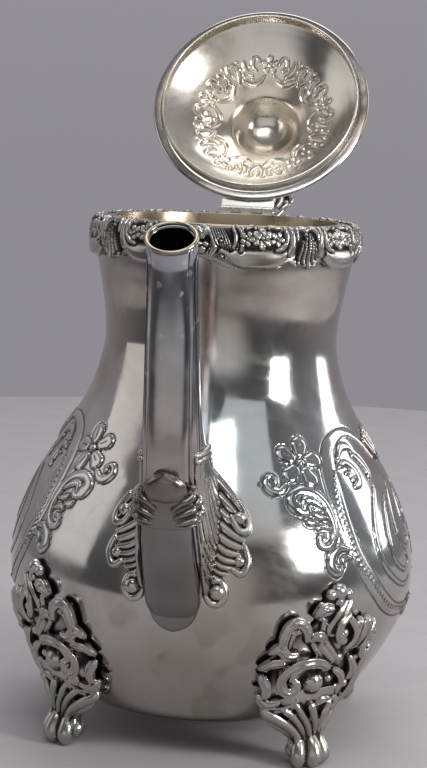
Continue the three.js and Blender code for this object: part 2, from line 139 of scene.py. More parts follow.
def normals_out(obj):
    """Makes every face of a closed mesh point outwards."""
    bm = bmesh.new()
    bm.from_mesh(obj.data)
    bmesh.ops.recalc_face_normals(bm, faces=bm.faces)
    bm.to_mesh(obj.data)
    bm.free()
    return obj


def turned(name, outline, cols=256):
    """A closed ring or disc turned about the vessel's axis from a closed outline of (radius, z)."""
    outline = np.asarray(outline, float)
    turn = np.linspace(0, 2 * np.pi, cols, endpoint=False)
    points = about_axis(outline[:, :1], turn, outline[:, 1:2])
    faces = grid_faces(len(outline), cols, wrap_cols=True, wrap_rows=True)
    return normals_out(new_object(name, points.reshape(-1, 3), faces))


def rounded(outline, radius=0.3, steps=3):
    """A closed outline with each corner cut into a small arc."""
    p = np.asarray(outline, float)
    out = []
    for i, here in enumerate(p):
        before, after = p[i - 1], p[(i + 1) % len(p)]
        cut = min(radius, np.linalg.norm(before - here) * 0.45, np.linalg.norm(after - here) * 0.45)
        a = here + unit(before - here) * cut
        b = here + unit(after - here) * cut
        for t in np.linspace(0, 1, steps + 1):
            out.append((1 - t) ** 2 * a + 2 * t * (1 - t) * here + t**2 * b)
    return np.array(out)


# ---------------------------------------------------------------- the vessel's surface

VESSEL = spline(
    [
        (47.5, 12.6), (52, 15.8), (57.4, 22), (64.2, 32), (70.4, 44), (73.6, 56), (73.3, 68), (70.2, 80),
        (63.2, 95), (54.3, 110), (46.4, 125), (42.4, 140), (42.7, 152), (44.8, 164), (46.5, 173), (47.2, 180),
    ]
)


def vessel_radius(z):
    return np.interp(z, VESSEL[:, 1], VESSEL[:, 0])


def on_vessel(angle, z, lift=0.0):
    """The point at that angle and height, standing lift proud of the vessel's surface."""
    angle, z, lift = np.broadcast_arrays(np.radians(angle), np.asarray(z, float), lift)
    r = vessel_radius(z)
    slope = vessel_radius(z + 0.5) - vessel_radius(z - 0.5)
    size = np.sqrt(1 + slope**2)
    return about_axis(r + lift / size, angle, z - lift * slope / size)


def clear_of_vessel(points, gap=0.3):
    """Moves points that lie under the vessel's surface out to stand a gap proud of it."""
    r = np.hypot(points[:, 0], points[:, 1])
    floor = vessel_radius(points[:, 2]) + gap
    inside = (r < floor) & (points[:, 2] > VESSEL[0, 1]) & (r > 30)
    scale = np.where(inside, floor / np.maximum(r, 1e-6), 1)
    return points * np.stack([scale, scale, np.ones_like(scale)], -1)


class Relief:
    """Chased relief on a set of surface points: a height, and a dark that follows its grooves."""

    def __init__(self, points):
        self.points = np.asarray(points, float)
        self.height = np.zeros(len(self.points))
        self.dark = np.zeros(len(self.points))

    def near(self, path, reach):
        """The points near a path, how far each is from it, and which sample of it is nearest."""
        inside = ((self.points > path.min(0) - reach) & (self.points < path.max(0) + reach)).all(1)
        index = np.nonzero(inside)[0]
        distance, nearest = np.empty(len(index)), np.empty(len(index), int)
        for i in range(0, len(index), 6000):
            some = self.points[index[i : i + 6000]]
            d = np.linalg.norm(some[:, None] - path[None], axis=-1)
            nearest[i : i + 6000] = d.argmin(1)
            distance[i : i + 6000] = d.min(1)
        return index, distance, nearest

    def pillow(self, path, width, height, groove=0.3, line=0.3, cup=0.0, fade=0.0):
        """A rounded raised stroke of changing half width, with a chased line all round it."""
        reach = width.max() + 3 * line
        index, distance, nearest = self.near(path, reach)
        w = width[nearest]
        q = distance / w
        inside = q < 1
        crown = height * (np.clip(1 - q**2, 0, 1) ** 0.6 - cup * bump_of(q, 0.5))
        edge = bump_of(distance - w, line)
        under = self.height[index]
        self.height[index] = np.where(inside, crown + fade * under, under) - groove * edge
        self.dark[index] = np.maximum(np.where(inside, 0, self.dark[index]), edge * min(1, groove / 0.25))

    def spot(self, surface, u, v, size, height, **chasing):
        """A round boss of the given radius."""
        self.pillow(*placed(surface, [(u, v, size), (u + 0.1, v, size)]), height, **chasing)

    def line(self, path, depth=0.3, width=0.3):
        """A chased line."""
        index, distance, _ = self.near(path, 4 * width)
        cut = bump_of(distance, width)
        self.height[index] -= depth * cut
        self.dark[index] = np.maximum(self.dark[index], cut)

    def dots(self, path, spacing, size, height):
        """Punched dots along a path: raised if height is positive, sunk if it is negative."""
        count = max(2, int(np.linalg.norm(np.diff(path, axis=0), axis=1).sum() / spacing))
        for centre in resampled(path, count):
            index, distance, _ = self.near(centre[None], 3 * size)
            self.height[index] += height * bump_of(distance, size)
            shade = bump_of(distance - 1.25 * size, 0.35 * size) if height > 0 else bump_of(distance, size)
            self.dark[index] = np.maximum(self.dark[index], 0.9 * shade)


def placed(surface, rows, steps=12):
    """A spline through rows of (u, v, half width), and the same on a surface: points and widths."""
    path = spline(rows, steps)
    return surface(path[:, 0], path[:, 1]), path[:, 2]


# ---------------------------------------------------------------- vessel with its chased side panels

FLOWER = (40, 106)
PETALS = [(34.2, 109), (41.4, 111.6), (46.2, 106.6), (42.6, 100.8), (35.2, 102.4)]
HOOK = [
    (34, 100.4, 0.9), (31, 97.6, 1.5), (28, 97.4, 1.7), (26, 99.6, 1.5), (27, 102, 1.2),
    (29.2, 101.6, 0.9), (29.2, 99.8, 0.8),
]
COMMA = [
    (38, 91.4, 2.6), (35, 92.4, 2.8), (34, 95, 2.2), (37, 97.2, 1.9), (41, 96.6, 2.3), (44.6, 93.6, 2.3),
    (46.4, 89.6, 1.9), (46.8, 85.4, 1.5), (46, 81.6, 1.5), (43.6, 79.2, 1.5), (41, 80, 1.4),
    (41.2, 82.6, 1.1), (43, 83, 0.9),
]
COMMA_TONGUE = [(44, 91.6, 0.7), (41, 94, 1.5), (38.4, 94.2, 1.5), (37.6, 92, 0.9)]
LEAFLETS = [
    [(41, 87.2, 1.0), (38.6, 87.4, 1.6), (37.8, 88.2, 1.2)],
    [(45.8, 88, 0.6), (42.4, 89, 1.3), (40.4, 90, 0.9)],
    [(45.4, 84.8, 0.7), (42.6, 86, 1.3), (40.8, 85.2, 0.9)],
]
KIDNEY = [
    (50.4, 77.6, 0.8), (47, 78.4, 1.6), (44.4, 76, 2.2), (43.8, 73, 2.3), (45.4, 70.6, 2.0),
    (47, 71.6, 1.2),
]
KIDNEY_CURL = [(47.8, 72.4, 0.8), (47.8, 74.4, 1.3), (49.6, 75.2, 1.1), (51, 74.6, 0.7)]
BAND = [
    (84, 103.6, 1.0), (79, 109.6, 1.4), (72, 113.4, 1.7), (64, 113.8, 2.0), (56, 110.6, 2.8),
    (52, 104.4, 3.6), (51, 97, 4.0), (51, 89.4, 3.9), (52, 82, 3.4), (53.6, 75.6, 3.1), (56.6, 69, 3.2),
    (61, 62.2, 3.2), (66.4, 56.2, 3.0), (75, 51.6, 2.4), (90, 49.4, 1.9),
]
BAND_LINE = [
    (84, 109), (76, 112), (66, 112.4), (57.6, 109.8), (51.8, 104.8), (49.4, 97.6), (49.4, 89.6),
    (50.4, 82), (52.2, 74.6), (55.4, 67.6), (59.8, 61), (65.4, 55), (74, 50.6), (90, 48.4),
]
BEAD_ROW = [
    (57, 104.6), (53, 101), (51.4, 96), (51, 88), (52, 80), (53.6, 74), (57.4, 67.6), (62, 61.2),
    (68, 55.2), (78, 51.4), (88, 50),
]
TOP_LEAVES = [
    [(58, 106.4, 0.7), (62, 109.4, 1.5), (66.6, 109.2, 1.6), (69, 106.4, 0.9)],
    [(67, 106.4, 0.9), (70.4, 104.4, 2.0), (72.6, 100.6, 1.7), (71.6, 98.8, 0.9)],
    [(57, 103.6, 0.8), (61, 104.4, 1.5), (64.6, 101.6, 2.0), (64.6, 98, 1.8), (61.4, 96.8, 1.1)],
    [(59, 101.4, 0.6), (61.4, 100.8, 1.2), (61.2, 98.8, 0.8)],
]
# A plain leafy flourish fills the middle of each panel.
FLOURISH = [
    [
        (72, 95, 0.6), (66.6, 88, 1.2), (63.6, 79, 1.5), (65.6, 70, 1.4), (71.6, 63.4, 1.1), (79, 60, 0.8),
        (84, 61.4, 0.7),
    ],
    [
        (78, 92, 0.5), (72.4, 85, 1.1), (70.4, 77, 1.3), (73, 69.4, 1.1), (79, 65.4, 0.8),
        (83.4, 67.4, 0.7), (81.6, 70.4, 0.6),
    ],
    [
        (86, 96, 0.5), (80.6, 89, 1.0), (77.4, 81, 1.2), (79.4, 74.6, 1.0), (84, 72.4, 0.8), (87, 75, 0.7),
        (85, 78, 0.6),
    ],
    [(90, 92, 0.5), (87.6, 87, 0.9), (86.4, 82.6, 0.9), (90, 80, 0.6)],
]


def panel_relief(relief):
    """The chased panel on one quarter of the vessel; the other quarters mirror it."""

    def draw(rows):
        return placed(on_vessel, rows)

    relief.pillow(*draw(BAND), 0.4, groove=0.3, line=0.3)
    relief.line(placed(on_vessel, [(a, z, 0) for a, z in BAND_LINE])[0], 0.16, 0.24)
    bead_path = placed(on_vessel, [(a, z, 0) for a, z in BEAD_ROW])[0]
    relief.dots(bead_path, 2.1, 0.62, 0.5)
    for rows in TOP_LEAVES:
        relief.pillow(*draw(rows), 0.6)
    for rows in FLOURISH:
        relief.pillow(*draw(rows), 0.36, groove=0.24, line=0.26)
    for rows in LEAFLETS:
        relief.pillow(*draw(rows), 0.6)
    relief.pillow(*draw(KIDNEY), 0.85)
    relief.pillow(*draw(KIDNEY_CURL), 0.7)
    relief.pillow(*draw(COMMA), 0.8)
    relief.pillow(*draw(COMMA_TONGUE), 0.9)
    relief.pillow(*draw(HOOK), 0.65)
    for angle, z in PETALS:
        inward = (FLOWER[0] * 0.4 + angle * 0.6, FLOWER[1] * 0.4 + z * 0.6, 2.4)
        relief.pillow(*draw([inward, (angle, z, 3.2)]), 0.8, cup=0.2)
        relief.line(placed(on_vessel, [(*inward[:2], 0), (angle, z, 0)])[0], 0.12, 0.3)
    relief.pillow(*draw([(*FLOWER, 1.7), (FLOWER[0] + 0.3, FLOWER[1], 1.7)]), 1.0)
    relief.dots(on_vessel(np.array([39, 41, 40.0]), np.array([105.4, 105.6, 107.0])), 1.2, 0.35, -0.5)
    for k in range(-2, 3):  # a palmette closes the panel's top and a smaller one its bottom
        lean, rise = 3.4 * k, 9.6 - 1.5 * abs(k)
        relief.pillow(*draw([(90 + lean * 0.2, 102.6, 0.8), (90 + lean, 102.6 + rise, 1.9)]), 1.1)
    for k in range(-1, 2):
        relief.pillow(*draw([(90 + 1.2 * k, 53, 0.8), (90 + 4.2 * k, 46.6 + 1.6 * abs(k), 1.8)]), 0.9)


def build_vessel():
    """Outer skin with relief, and a plain inner skin one sheet further in."""
    sheet, fold = 1.0, 1.2
    fine = np.arange(24, 156.01, 0.41)  # small steps on the chased sides, long ones in front and behind
    front = np.linspace(-24, 24, 24, endpoint=False)
    behind = np.linspace(156, 204, 24, endpoint=False)[1:]
    angles = np.concatenate([front, fine, behind, 360 - fine[::-1]])
    angles = np.unique(np.round(np.mod(angles, 360), 4))
    chased_rows = np.arange(44.5, 117.5, 0.48)
    z_rows = np.concatenate([np.linspace(12.6, 44, 26), chased_rows, np.linspace(118.2, 180, 34)])
    a, z = np.meshgrid(angles, z_rows)
    outer = on_vessel(a, z).reshape(-1, 3)
    folded = np.stack([abs(outer[:, 0]), -abs(outer[:, 1]), outer[:, 2]], -1)
    busy = np.nonzero((outer[:, 2] > 42) & (outer[:, 2] < 119) & (folded[:, 0] > 20))[0]
    relief = Relief(folded[busy])
    panel_relief(relief)
    height, dark = np.zeros(len(outer)), np.zeros(len(outer))
    height[busy], dark[busy] = relief.height, relief.dark
    outer = on_vessel(a, z, height.reshape(a.shape)).reshape(-1, 3)

    inner_angles = np.arange(0, 360, 4.0)
    inner_z = np.linspace(14.4, 180, 56)
    ia, iz = np.meshgrid(inner_angles, inner_z)
    inner = on_vessel(ia, iz, -sheet).reshape(-1, 3)
    inner[:, 2] = np.where(iz.ravel() > 179.9, 180, inner[:, 2])
    lip = on_vessel(inner_angles, 12.6, 0.0) * (43 / 47.5, 43 / 47.5, 1)
    points = np.vstack([outer, lip, lip + (0, 0, fold), inner])

    n, m = len(angles), len(inner_angles)
    lip_start = len(outer)
    lip_ring = list(range(lip_start, lip_start + m))
    outer_top = list(range(lip_start - n, lip_start))
    inner_top = list(range(len(points) - m, len(points)))
    faces = grid_faces(len(z_rows), n, wrap_cols=True).tolist()
    faces += zipped(list(range(n)), angles, lip_ring, inner_angles, flip=True)
    faces += grid_faces(len(inner_z) + 2, m, wrap_cols=True, flip=True, start=lip_start).tolist()
    faces += zipped(outer_top, angles, inner_top, inner_angles)
    dark = np.concatenate([dark, np.zeros(len(points) - len(outer))])
    return normals_out(new_object("vessel", points, faces, dark=dark))


def pierced(vessel):
    """Cuts the strainer's thirteen holes through the wall behind the spout."""
    cutter = Casting()
    radius, middle, pitch = 1.7, 78, 5.4
    for row in range(-2, 3):
        z = middle + pitch * row
        for x in (-6, 0, 6) if row % 2 == 0 else (-3, 3):
            cutter.stroke([(x, -82, z), (x, -62, z)], [radius, radius], outwards=(0, 0, 1), sides=20)
    tool = normals_out(new_object("strainer_cutter", np.concatenate(cutter.points), cutter.faces))
    holes = vessel.modifiers.new("holes", "BOOLEAN")
    holes.operation, holes.solver, holes.object = "DIFFERENCE", "MANIFOLD", tool
    depsgraph = bpy.context.evaluated_depsgraph_get()
    mesh = bpy.data.meshes.new_from_object(vessel.evaluated_get(depsgraph), depsgraph=depsgraph)
    vessel.modifiers.clear()
    vessel.data = mesh
    bpy.data.objects.remove(tool)
    return vessel


def zipped(ring_a, angles_a, ring_b, angles_b, flip=False):
    """Triangles between two rings of points that have different counts."""
    faces, i, j = [], 0, 0
    n, m = len(ring_a), len(ring_b)
    while i < n or j < m:
        next_a = angles_a[i + 1] if i + 1 < n else 360 + angles_a[0]
        next_b = angles_b[j + 1] if j + 1 < m else 360 + angles_b[0]
        if j >= m or (i < n and next_a <= next_b):
            faces.append([ring_a[i % n], ring_a[(i + 1) % n], ring_b[j % m]])
            i += 1
        else:
            faces.append([ring_a[i % n], ring_b[(j + 1) % m], ring_b[j % m]])
            j += 1
    return [f[::-1] for f in faces] if flip else faces


# ---------------------------------------------------------------- mouth border

BORDER_POINTS = [
    (42.0, 185.4), (44.4, 185.6), (46.6, 185.2), (48.0, 183.4), (48.4, 179.5), (48.0, 175.5), (47.5, 171.6),
]
BORDER_OUTLINE = spline(BORDER_POINTS, 8)
BORDER_REACH = np.concatenate([[0], np.cumsum(np.linalg.norm(np.diff(BORDER_OUTLINE, axis=0), axis=1))])
BORDER_REPEAT = 90.0  # degrees from one drop to the next; each repeat is mirrored about its drop


def border_low(angle):
    """How far the border's lower edge is drawn up, by the angle from the nearest drop."""
    return 2.6 * bump_of(angle - 8.5, 3.2) + 1.0 * bump_of(angle - 3, 2) + 3.4 * bump_of(angle - 45, 7)


def on_border(angle, reach, lift=0.0):
    """angle is from a drop's middle; reach runs down the border's outline from its inner edge."""
    angle, reach = np.broadcast_arrays(np.asarray(angle, float), np.asarray(reach, float))
    r = np.interp(reach, BORDER_REACH, BORDER_OUTLINE[:, 0])
    z = np.interp(reach, BORDER_REACH, BORDER_OUTLINE[:, 1])
    dr = change(reach, BORDER_REACH, BORDER_OUTLINE[:, 0])
    dz = change(reach, BORDER_REACH, BORDER_OUTLINE[:, 1])
    size = np.maximum(np.hypot(dr, dz), 1e-6)
    r, z = r - lift * dz / size, z + lift * dr / size
    share = np.clip((reach - 10) / 8, 0, 1)
    folded = abs((angle + BORDER_REPEAT / 2) % BORDER_REPEAT - BORDER_REPEAT / 2)
    return about_axis(r, np.radians(angle), z + share * border_low(folded))


BORDER_STROKES = [  # (rows of (angle, reach, half width), height)
    ([(10.6, 14.6, 2.2), (16, 15.4, 3.3), (24, 15.8, 3.6), (31, 15.0, 3.0), (37, 13.4, 1.8)], 1.7),
    ([(10.4, 3.6, 0.8), (9.8, 8, 1.2), (11.6, 11.4, 1.2), (14.5, 12.2, 0.8)], 1.4),
    ([(7.6, 4.0, 1.0), (7.0, 9, 1.5), (7.8, 14.6, 1.8)], 1.4),
    ([(0, 6.4, 1.4), (0, 10.6, 2.6), (0, 15, 4.1), (0, 17.4, 3.6), (0, 19.2, 1.8)], 1.8),
    ([(2.6, 8.6, 0.3), (3.6, 12.4, 0.5), (4.4, 15.8, 0.6)], 2.2),
    ([(1.3, 7.6, 0.4), (1.9, 12.2, 0.6), (2.5, 17, 0.7)], 2.4),
    ([(0, 7, 0.4), (0, 12, 0.65), (0, 18.2, 0.8)], 2.6),
    ([(5.2, 8.8, 0.6), (5.0, 5.6, 1.0), (2.8, 3.6, 1.2), (0, 4.8, 1.5)], 1.5),
    ([(29.4, 12.6, 0.8), (28.4, 8.8, 1.2), (29.6, 5.4, 1.1), (31.4, 3.6, 0.8)], 1.5),
    ([(33.0, 4.2, 0.7), (31.6, 7.4, 1.0), (31.8, 10.6, 1.0), (33.4, 12.2, 0.8)], 1.4),
    ([(41.2, 15.8, 1.2), (39.8, 12.0, 1.5), (40.6, 8.0, 1.6), (43.2, 6.0, 1.5), (45, 8.0, 1.4)], 1.7),
    ([(14.2, 4.2, 0.6), (16.6, 3.2, 0.9), (19, 4.4, 0.8)], 1.3),
    ([(27, 4.4, 0.6), (24.6, 3.2, 0.9), (22.2, 4.4, 0.8)], 1.3),
]
FLOWERS_ON_BORDER = [(20.4, 8.2, 3.3, 6), (14.0, 8.4, 2.3, 5), (26.8, 8.4, 2.3, 5)]
BERRIES_ON_BORDER = [
    (12.0, 4.8, 0.8), (17.4, 4.4, 0.7), (23.4, 4.4, 0.7), (28.8, 4.8, 0.8), (36.8, 15.2, 1.0),
    (43.6, 11.4, 1.4), (45, 4.2, 1.2), (45, 14.6, 1.6), (37.4, 9.4, 0.8),
]


def border_relief(relief):
    """Leaves, reeds, flowers and berries on half a repeat of the border."""
    for rows, height in BORDER_STROKES:
        relief.pillow(*placed(on_border, rows), height, groove=0.5, line=0.28)
    for k in range(6):  # leaning reeds
        rows = [(33.2 + k, 12.8 - 0.3 * k, 0.3), (34.4 + k, 9.4, 0.5), (36.8 + k, 5.4 - 0.2 * k, 0.4)]
        relief.pillow(*placed(on_border, rows), 1.3, groove=0.5, line=0.22)
    for angle, reach, size, petals in FLOWERS_ON_BORDER:
        for k in range(petals):
            turn = 2 * math.pi * k / petals + 0.5
            rows = []
            for away, width in ((0.4, 0.36), (0.8, 0.45)):
                sideways, down = size * away * math.cos(turn), size * away * math.sin(turn)
                rows.append((angle + math.degrees(sideways / 48), reach + down, size * width))
            relief.pillow(*placed(on_border, rows), 1.2, groove=0.45, line=0.18, cup=0.5)
        relief.spot(on_border, angle, reach, size * 0.24, 1.5, groove=0.3, line=0.18)
    for angle, reach, size in BERRIES_ON_BORDER:
        relief.spot(on_border, angle, reach, size, 1.4, groove=0.3, line=0.22)


def build_border():
    cols, rows = 1040, 62
    angles = np.linspace(0, 360, cols, endpoint=False)
    reach = np.linspace(0, BORDER_REACH[-1], rows)
    a, v = np.meshgrid(angles, reach)
    from_drop = (a - 45 + BORDER_REPEAT / 2) % BORDER_REPEAT - BORDER_REPEAT / 2
    one_repeat = on_border(abs(from_drop), v).reshape(-1, 3)
    relief = Relief(one_repeat)
    border_relief(relief)
    height = relief.height.reshape(a.shape)
    ground = 0.35 * np.clip((v - 2.5) / 1.5, 0, 1) * np.clip((BORDER_REACH[-1] - 1.2 - v) / 2, 0, 1)
    fade = np.clip(v / 2.5, 0, 1) * np.clip((BORDER_REACH[-1] - v) / 1.0, 0, 1)
    height = (height - ground) * fade
    base = on_border(a - 45, v, height)
    outer = base.reshape(-1, 3) @ np.array(Matrix.Rotation(math.radians(45), 3, "Z")).T
    raised = np.clip(height / 0.6 + 0.8, 0, 1).ravel()
    dark = np.maximum(relief.dark, 1 - raised) * fade.ravel()

    inner_outline = np.array([(47.75, 172.4), (47.7, 180.5), (45.5, 180.6), (42.0, 182.8)])
    inner = about_axis(inner_outline[:, :1], np.radians(angles), inner_outline[:, 1:])
    inner[0, :, 2] = outer.reshape(rows, cols, 3)[-1, :, 2] + 0.8
    inner[0, :, :2] *= 47.4 / 47.75
    points = np.vstack([outer, inner.reshape(-1, 3)])
    faces = grid_faces(rows + len(inner_outline), cols, wrap_cols=True, wrap_rows=True)
    dark = np.concatenate([dark, np.zeros(len(points) - len(outer))])
    return normals_out(new_object("mouth_border", points, faces, dark=dark))


# ---------------------------------------------------------------- spout

SPOUT_STATIONS = spline(
    [
        (-66, 56, -40, 78, 9), (-74.5, 58, -48, 88, 11), (-81, 68, -54, 98, 12),
        (-87.5, 78, -58, 108, 11.5), (-92.5, 90, -64, 117, 10.5), (-96, 104, -72, 126, 9.5),
        (-98.5, 120, -79, 137, 9), (-100, 136, -84, 149, 8.6), (-101.5, 150, -87.5, 161, 8.4),
        (-103.5, 163, -90, 174, 8.2), (-106, 173.8, -93.5, 183.4, 8.1), (-108, 179.2, -96.5, 188.4, 8.3),
    ],
    14,
)
SPOUT_SIDES = 288


def spout_section(station, offset, reeds=0.0):
    """One closed loop round the spout; below the mouth its front side squares off into a flat panel."""
    front_y, front_z, back_y, back_z, half_width = station
    front, back = np.array([0, front_y, front_z]), np.array([0, back_y, back_z])
    forwards = unit(front - back)
    half_depth = np.linalg.norm(front - back) / 2 + offset
    turn = 2 * np.pi * (np.arange(SPOUT_SIDES) + 0.5) / SPOUT_SIDES
    below_mouth = np.clip((174 - front_z) / 22, 0, 1)
    squareness = 2.02 + below_mouth * (0.2 + 1.3 * np.clip(np.cos(turn), 0, 1))
    across = np.sign(np.sin(turn)) * abs(np.sin(turn)) ** (2 / squareness)
    along = np.sign(np.cos(turn)) * abs(np.cos(turn)) ** (2 / squareness)
    loop = (front + back) / 2 + forwards * (half_depth * along)[:, None]
    loop[:, 0] = (half_width + offset) * across
    if reeds:
        loop += reed_lift(loop, station)[:, None] * reeds * loop_normals(loop, forwards)
    return loop


def loop_normals(loop, forwards):
    """Outward directions in the plane of a section."""
    along = unit(np.roll(loop, -1, 0) - np.roll(loop, 1, 0))
    plane = unit(np.cross(forwards, (1.0, 0, 0)))
    return unit(np.cross(along, plane)) * np.sign(np.cross(along, plane)[0] @ (loop[0] - loop.mean(0)))


REEDS = [  # (distance behind the front panel's edge, half width, height)
    (0.0, 0.4, -0.7), (1.0, 0.55, 0.45), (2.0, 0.36, -0.6), (3.0, 0.55, 0.4), (4.0, 0.34, -0.55),
    (5.0, 0.55, 0.3), (6.0, 0.3, -0.35),
]


def reed_lift(loop, station):
    """Reeds between fine grooves on each flank; they spread as they run down towards the root."""
    steps = np.linalg.norm(np.roll(loop, -1, 0) - loop, axis=1)
    from_front = np.concatenate([[0], np.cumsum(steps)[:-1]]) + steps[0] / 2
    from_front = np.minimum(from_front, steps.sum() - from_front)
    edge = 0.88 * station[4]
    spread = 1 + 0.6 * np.clip((160 - station[1]) / 50, 0, 1)
    lift = np.zeros(len(loop))
    for place, size, height in REEDS:
        lift += height * bump_of(from_front - edge - place * spread, size * spread**0.5)
    return lift


def build_spout():
    """The spout's shell, cut off where it goes into the vessel."""
    wall = 1.2
    fade = np.clip(np.linspace(14, 0, len(SPOUT_STATIONS)) / 1.2, 0, 1)
    outer = np.array([spout_section(s, 0.0, reeds=f) for s, f in zip(SPOUT_STATIONS, fade)])
    inner = np.array([spout_section(s, -wall) for s in SPOUT_STATIONS])
    loops = np.concatenate([outer, inner[::-1]])
    points = loops.reshape(-1, 3)
    r = np.hypot(points[:, 0], points[:, 1])
    touching = r < vessel_radius(points[:, 2]) + 0.1
    faces = grid_faces(len(loops), SPOUT_SIDES, wrap_cols=True, wrap_rows=True)
    kept = faces[~touching[faces].all(1)]
    used = np.unique(kept)
    renumber = np.full(len(points), -1)
    renumber[used] = np.arange(len(used))
    lift = np.array([reed_lift(loop, station) * f for loop, station, f in zip(outer, SPOUT_STATIONS, fade)])
    lift = np.concatenate([lift, 0 * inner[..., 0]])
    dark = np.clip(-lift.reshape(-1) / 0.25, 0, 1)
    points = clear_of_vessel(points[used], 0.1)
    return normals_out(new_object("spout", points, renumber[kept], dark=dark[used]))


def build_lip():
    """The rolled wire round the spout's mouth."""
    loop = resampled(spout_section(SPOUT_STATIONS[-1], -0.35), 160, closed=True)
    lean = unit(np.array([0, -0.74, 0.67]))
    turn = np.linspace(0, 2 * np.pi, 14, endpoint=False)
    centre = loop.mean(0)
    outwards = unit(loop - centre)
    away = np.cos(turn)[:, None, None] * outwards + np.sin(turn)[:, None, None] * lean
    rings = loop[None] + lean * 1.1 + 0.8 * away
    faces = grid_faces(len(turn), len(loop), wrap_cols=True, wrap_rows=True)
    return normals_out(new_object("spout_lip_ring", rings.reshape(-1, 3), faces))


# ---------------------------------------------------------------- castings made of strokes


class Casting:
    """A cast ornament: swept strokes, balls and plates, fused into one skin by a voxel remesh."""

    def __init__(self):
        self.points, self.faces = [], []
        self.count = 0

    def add(self, points, faces):
        self.points.append(np.asarray(points, float))
        self.faces += [[int(i) + self.count for i in f] for f in faces]
        self.count += len(points)

    def stroke(self, path, radii, flat=1.0, outwards=None, sides=10):
        """A round-ended tube of changing radius along a path, squashed along outwards if flat is under 1."""
        path, radii = np.asarray(path, float), np.asarray(radii, float)
        along = unit(np.gradient(path, axis=0))
        guide = np.asarray(outwards if outwards is not None else (0, -1, 0.0), float)
        out = unit(guide - (along * guide).sum(-1, keepdims=True) * along)
        side = np.cross(along, out)
        turn = np.linspace(0, 2 * np.pi, sides, endpoint=False)[:, None]
        rings = []
        steps = [(0, 0.02, -1.0), (0, 0.6, -0.8)]  # which point, the share of its radius, and the shift
        steps += [(i, 1.0, 0.0) for i in range(len(path))]
        steps += [(-1, 0.6, 0.8), (-1, 0.02, 1.0)]
        for i, size, shift in steps:
            centre = path[i] + along[i] * radii[i] * shift
            around = np.cos(turn) * side[i] + flat * np.sin(turn) * out[i]
            rings.append(centre + size * radii[i] * around)
        n = len(rings)
        faces = grid_faces(n, sides, wrap_cols=True).tolist()
        faces += [list(range(sides))[::-1], list(range((n - 1) * sides, n * sides))]
        self.add(np.concatenate(rings), faces)

    def ball(self, centre, radius, flat=1.0, outwards=(0, -1, 0)):
        centre, outwards = np.asarray(centre, float), unit(np.asarray(outwards, float))
        ball = bmesh.new()
        bmesh.ops.create_icosphere(ball, subdivisions=3, radius=1)
        points = np.array([v.co for v in ball.verts])
        faces = [[v.index for v in f.verts] for f in ball.faces]
        ball.free()
        depth = points @ outwards
        points = points + (flat - 1) * depth[:, None] * outwards
        self.add(centre + radius * points, faces)

    def loft(self, levels, sides=40, squareness=2.3):
        """A closed body through levels of (height, distance out, half depth, half width, shift)."""
        turn = np.linspace(0, 2 * np.pi, sides, endpoint=False)
        across = np.sign(np.cos(turn)) * abs(np.cos(turn)) ** (2 / squareness)
        away = np.sign(np.sin(turn)) * abs(np.sin(turn)) ** (2 / squareness)
        rings = []
        for z, out, depth, width, shift in spline(levels, 6):
            rings.append(np.stack([shift + width * across, -(out + depth * away), z + 0 * turn], -1))
        n = len(rings)
        faces = grid_faces(n, sides, wrap_cols=True).tolist()
        faces += [list(range(sides)), list(range((n - 1) * sides, n * sides))]
        self.add(np.concatenate(rings), faces)

    def plate(self, bottom, top):
        """A closed slab between two grids of points of the same shape."""
        rows, cols = bottom.shape[:2]
        start = rows * cols
        faces = grid_faces(rows, cols, flip=True).tolist() + grid_faces(rows, cols, start=start).tolist()
        edge = [i for i in range(cols)]
        edge += [(i + 1) * cols + cols - 1 for i in range(rows - 1)]
        edge += [(rows - 1) * cols + i for i in range(cols - 2, -1, -1)]
        edge += [i * cols for i in range(rows - 2, 0, -1)]
        for i, here in enumerate(edge):
            following = edge[(i + 1) % len(edge)]
            faces.append([here, following, following + start, here + start])
        self.add(np.concatenate([bottom.reshape(-1, 3), top.reshape(-1, 3)]), faces)

    def fused(self, name, voxel=0.42, smooth=4):
        """The ornament as one smooth mesh, as its points, edges and faces."""
        obj = new_object(name, np.concatenate(self.points), self.faces)
        modifier = obj.modifiers.new("fuse", "REMESH")
        modifier.mode, modifier.voxel_size = "VOXEL", voxel * MM
        depsgraph = bpy.context.evaluated_depsgraph_get()
        mesh = bpy.data.meshes.new_from_object(obj.evaluated_get(depsgraph), depsgraph=depsgraph)
        bpy.data.objects.remove(obj)
        points, edges, faces = mesh_arrays(mesh)
        bpy.data.meshes.remove(mesh)
        points = relaxed(points, edges, smooth)
        return points, edges, faces


def mesh_arrays(mesh):
    """Points in millimetres about the vessel's axis, edges, and faces as a list."""
    points = np.empty(len(mesh.vertices) * 3)
    mesh.vertices.foreach_get("co", points)
    edges = np.empty(len(mesh.edges) * 2, int)
    mesh.edges.foreach_get("vertices", edges)
    faces = [tuple(p.vertices) for p in mesh.polygons]
    return points.reshape(-1, 3) / MM - (0, AXIS_Y, 0), edges.reshape(-1, 2), faces


def neighbour_mean(values, edges):
    """Each point's mean over its neighbours."""
    total, count = np.zeros_like(values), np.zeros(len(values))
    for a, b in ((0, 1), (1, 0)):
        np.add.at(count, edges[:, a], 1)
        for k in range(values.shape[1]):
            total[:, k] += np.bincount(edges[:, a], values[edges[:, b], k], len(values))
    return total / np.maximum(count, 1)[:, None]


def relaxed(points, edges, rounds, keep=0.5):
    """Smoothed without much shrinking: each round pulls in, then pushes part of the way back."""
    for _ in range(rounds):
        for pull in (keep, -keep * 0.96):
            points = points + pull * (neighbour_mean(points, edges) - points)
    return points


